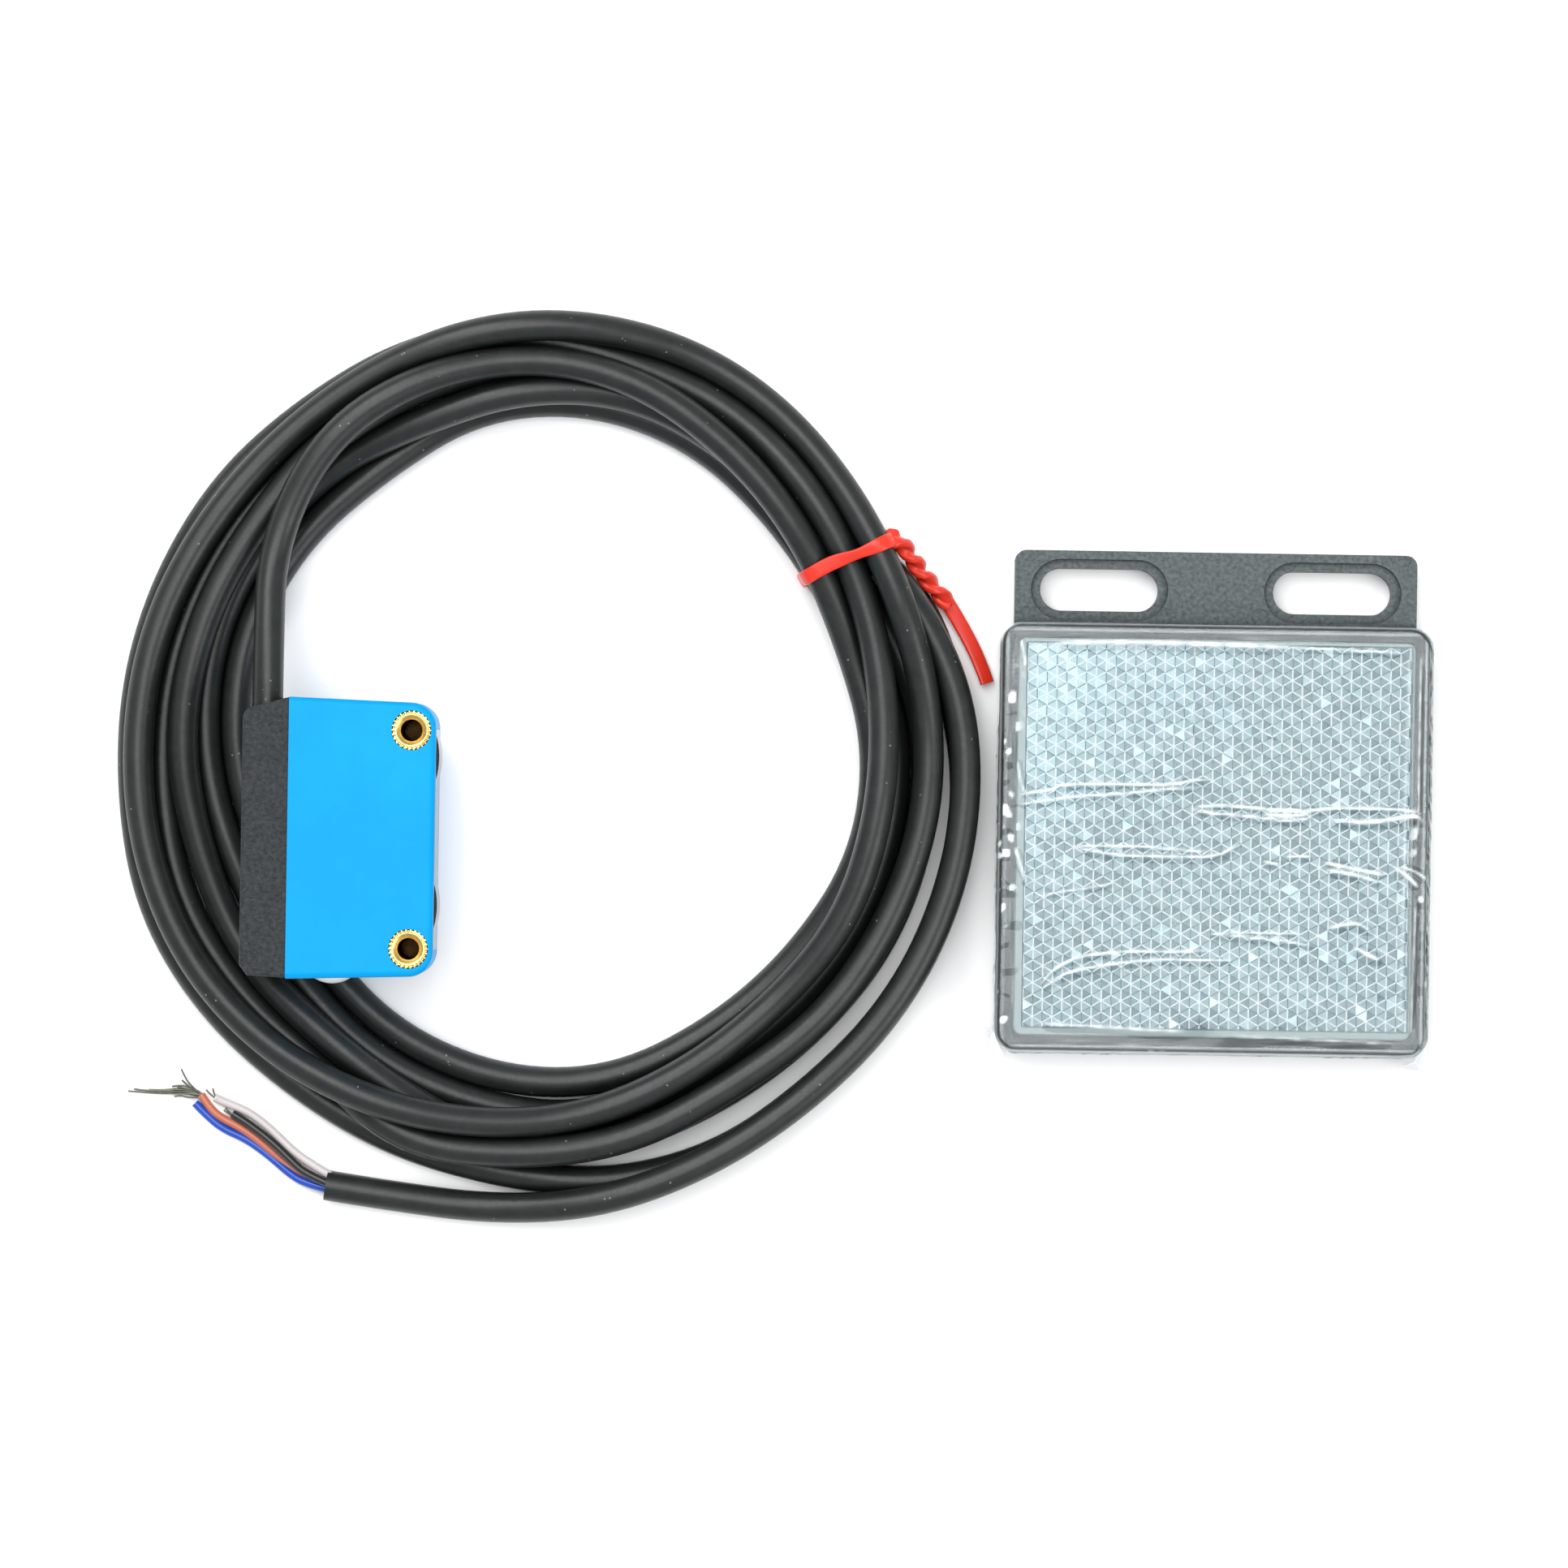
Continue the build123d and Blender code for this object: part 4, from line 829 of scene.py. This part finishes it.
# folded ears at the two lower corners, with painted highlights along their edges
def ear(p0, p1, p2, n_=7, lift=0.25):
    global vs, cv, fs
    base_ = len(vs)
    rows_, vals, ids = [], [], {}
    for i in range(n_ + 1):
        for j in range(n_ + 1 - i):
            a, b = i / n_, j / n_
            c = 1 - a - b
            q = np.array(p0) * c + np.array(p1) * a + np.array(p2) * b
            q = q + np.array([0, 0, 1.0]) * lift * 27 * a * b * c
            ids[(i, j)] = base_ + len(rows_)
            rows_.append([q[0] + FCX, q[1] + FCY, q[2]])
            # ear glare value: a pale base, plus a painted highlight along the ear's edges
            vals.append(0.14 + (0.26 if (c < 0.08 or min(a, b) < 0.02) else 0.0))
    vs = np.concatenate([vs, np.array(rows_)])
    cv = np.concatenate([cv, np.array(vals)])
    for i in range(n_):
        for j in range(n_ - i):
            fs.append((ids[(i, j)], ids[(i + 1, j)], ids[(i, j + 1)]))
            if j < n_ - i - 1:
                fs.append((ids[(i + 1, j)], ids[(i + 1, j + 1)], ids[(i, j + 1)]))


ear((-25.55, -22.9, 6.4), (-24.3, -25.75, 6.0), (-26.5, -25.6, 2.4))
ear((-25.55, -22.9, 6.4), (-26.6, -22.4, 1.2), (-26.5, -25.6, 2.4), lift=0.12)
ear((25.5, -23.4, 6.2), (23.9, -25.75, 6.2), (25.6, -26.9, 2.2))
ear((23.9, -25.75, 6.2), (22.9, -26.5, 1.4), (25.6, -26.9, 2.2), lift=0.12)
me = bpy.data.meshes.new("film")
me.from_pydata([tuple(v) for v in (vs * MM).tolist()], [], fs)
me.update()
# vertex colour: painted highlight (glare) strength that the film material mixes in as white
ca = me.color_attributes.new("painted_crease_glare", "FLOAT_COLOR", "POINT")
ca.data.foreach_set("color", np.repeat(np.clip(cv, 0, 1)[:, None], 4, 1).astype(np.float32).ravel())
for p in me.polygons:
    p.use_smooth = True
film = bpy.data.objects.new("film", me)
scene.collection.objects.link(film)
mf = bpy.data.materials.new("clear_film"); mf.use_nodes = True
nt = mf.node_tree; nt.nodes.clear()
out = nt.nodes.new("ShaderNodeOutputMaterial")
tc = nt.nodes.new("ShaderNodeTexCoord")
tr = nt.nodes.new("ShaderNodeBsdfTransparent"); tr.inputs[0].default_value = (0.955, 0.975, 0.98, 1)
gl = nt.nodes.new("ShaderNodeBsdfGlossy"); gl.inputs["Roughness"].default_value = 0.07; gl.inputs["Color"].default_value = (0.90, 0.98, 0.99, 1)
fr = nt.nodes.new("ShaderNodeFresnel"); fr.inputs["IOR"].default_value = 1.42
m1 = nt.nodes.new("ShaderNodeMixShader")
nt.links.new(fr.outputs[0], m1.inputs[0]); nt.links.new(tr.outputs[0], m1.inputs[1]); nt.links.new(gl.outputs[0], m1.inputs[2])
# painted highlights: where the painted glare value is high, a whitish diffuse shader replaces the clear film (plus a
# faint random haze)
glare_white = nt.nodes.new("ShaderNodeBsdfPrincipled")
nt.links.new(ramp(nt, noise_tex(nt, tc, 900.0, 3.0), [(0.3, (0.76, 0.84, 0.85)), (0.7, (0.90, 0.96, 0.97))]), glare_white.inputs["Base Color"])
glare_white.inputs["Roughness"].default_value = 0.25
at = nt.nodes.new("ShaderNodeVertexColor"); at.layer_name = "painted_crease_glare"
haze = nt.nodes.new("ShaderNodeMapRange")
nt.links.new(noise_tex(nt, tc, 130.0, 4.0, 0.6, stretch=(0.35, 1.0, 1.0)), haze.inputs[0])
haze.inputs[1].default_value = 0.35; haze.inputs[2].default_value = 0.75
haze.inputs[3].default_value = 0.0; haze.inputs[4].default_value = 0.05
ad = nt.nodes.new("ShaderNodeMath"); ad.operation = "ADD"; ad.use_clamp = True
nt.links.new(at.outputs[0], ad.inputs[0]); nt.links.new(haze.outputs[0], ad.inputs[1])
m2 = nt.nodes.new("ShaderNodeMixShader")
nt.links.new(ad.outputs[0], m2.inputs[0]); nt.links.new(m1.outputs[0], m2.inputs[1]); nt.links.new(glare_white.outputs[0], m2.inputs[2])
nt.links.new(m2.outputs[0], out.inputs[0])
me.materials.append(mf)
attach(film, "reflector")
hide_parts("film_wrap")

# ------------------------------------------------------------------ threaded inserts, knurled outside and threaded inside
ilo, ihi = [Vector(p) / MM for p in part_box("threaded_inserts")]
ICX = (ilo.x + ihi.x) / 2
RK = (ihi.x - ilo.x) / 2
IYS = (ihi.y - RK, ilo.y + RK)
ZB_, ZT_ = ilo.z, ihi.z
TEETH, PER = 26, 8
NS = TEETH * PER
def insert_mesh(cy):
    vs_, fs_ = [], []
    rings_ = []
    def ring(r, z, knurl=0.0, sink=0.0):
        row = []
        for k in range(NS):
            a = 2 * math.pi * k / NS
            ph = (k % PER) / PER
            tooth = 0.5 + 0.5 * math.cos(2 * math.pi * ph)
            rr = r - knurl * (1 - tooth)
            zz = z - sink * (1 - tooth)
            row.append(len(vs_)); vs_.append((ICX + rr * math.cos(a), cy + rr * math.sin(a), zz))
        rings_.append(row)
    ring(RK - 0.5, ZB_)
    ring(RK - 0.02, ZB_ + 0.3, 0.24)
    ring(RK - 0.001, ZB_ + 0.5, 0.24)
    ring(RK - 0.001, ZT_ - 0.30, 0.18)
    ring(RK - 0.01, ZT_ - 0.02, 0.15, 0.09)
    ring(RK - 0.26, ZT_ - 0.0, 0.05, 0.11)
    ring(1.90, ZT_)
    ring(1.80, ZT_)
    ring(1.70, ZT_ - 0.03)
    ring(1.36, ZT_ - 0.36)
    pitch = 0.5
    z = ZT_ - 0.45
    step = pitch / 6
    k = 0
    zend = ZB_ + 1.75
    while z > zend:
        f = k % 6
        r = (1.27, 1.33, 1.42, 1.47, 1.42, 1.33)[f]
        ring(r, z, 0.0)
        z -= step; k += 1
    ring(1.25, ZB_ + 1.62)
    ring(0.9, ZB_ + 1.50)
    for a, b in zip(rings_, rings_[1:]):
        for k in range(NS):
            l = (k + 1) % NS
            fs_.append((a[k], a[l], b[l], b[k]))
    fs_.append(tuple(rings_[-1])); fs_.append(tuple(rings_[0]))
    return vs_, fs_


iv, if_ = [], []
for cy in IYS:
    v, f = insert_mesh(cy)
    b0 = len(iv)
    iv += [Vector(q) * MM for q in v]
    if_ += [tuple(b0 + i for i in q) for q in f]
ins = mesh_obj("inserts", iv, if_, M_BRASS, "sensor", smooth=28)
ins.data.materials.append(M_BORE_SHADE)
# faces inside the bore get the darkened brass, which is painted shade
for p in ins.data.polygons:
    c = p.center / MM
    cy = min(IYS, key=lambda y: abs(y - c.y))
    if math.hypot(c.x - ICX, c.y - cy) < 1.6 and ZB_ + 0.2 < c.z < ZT_ - 0.75:
        p.material_index = 1
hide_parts("threaded_inserts")
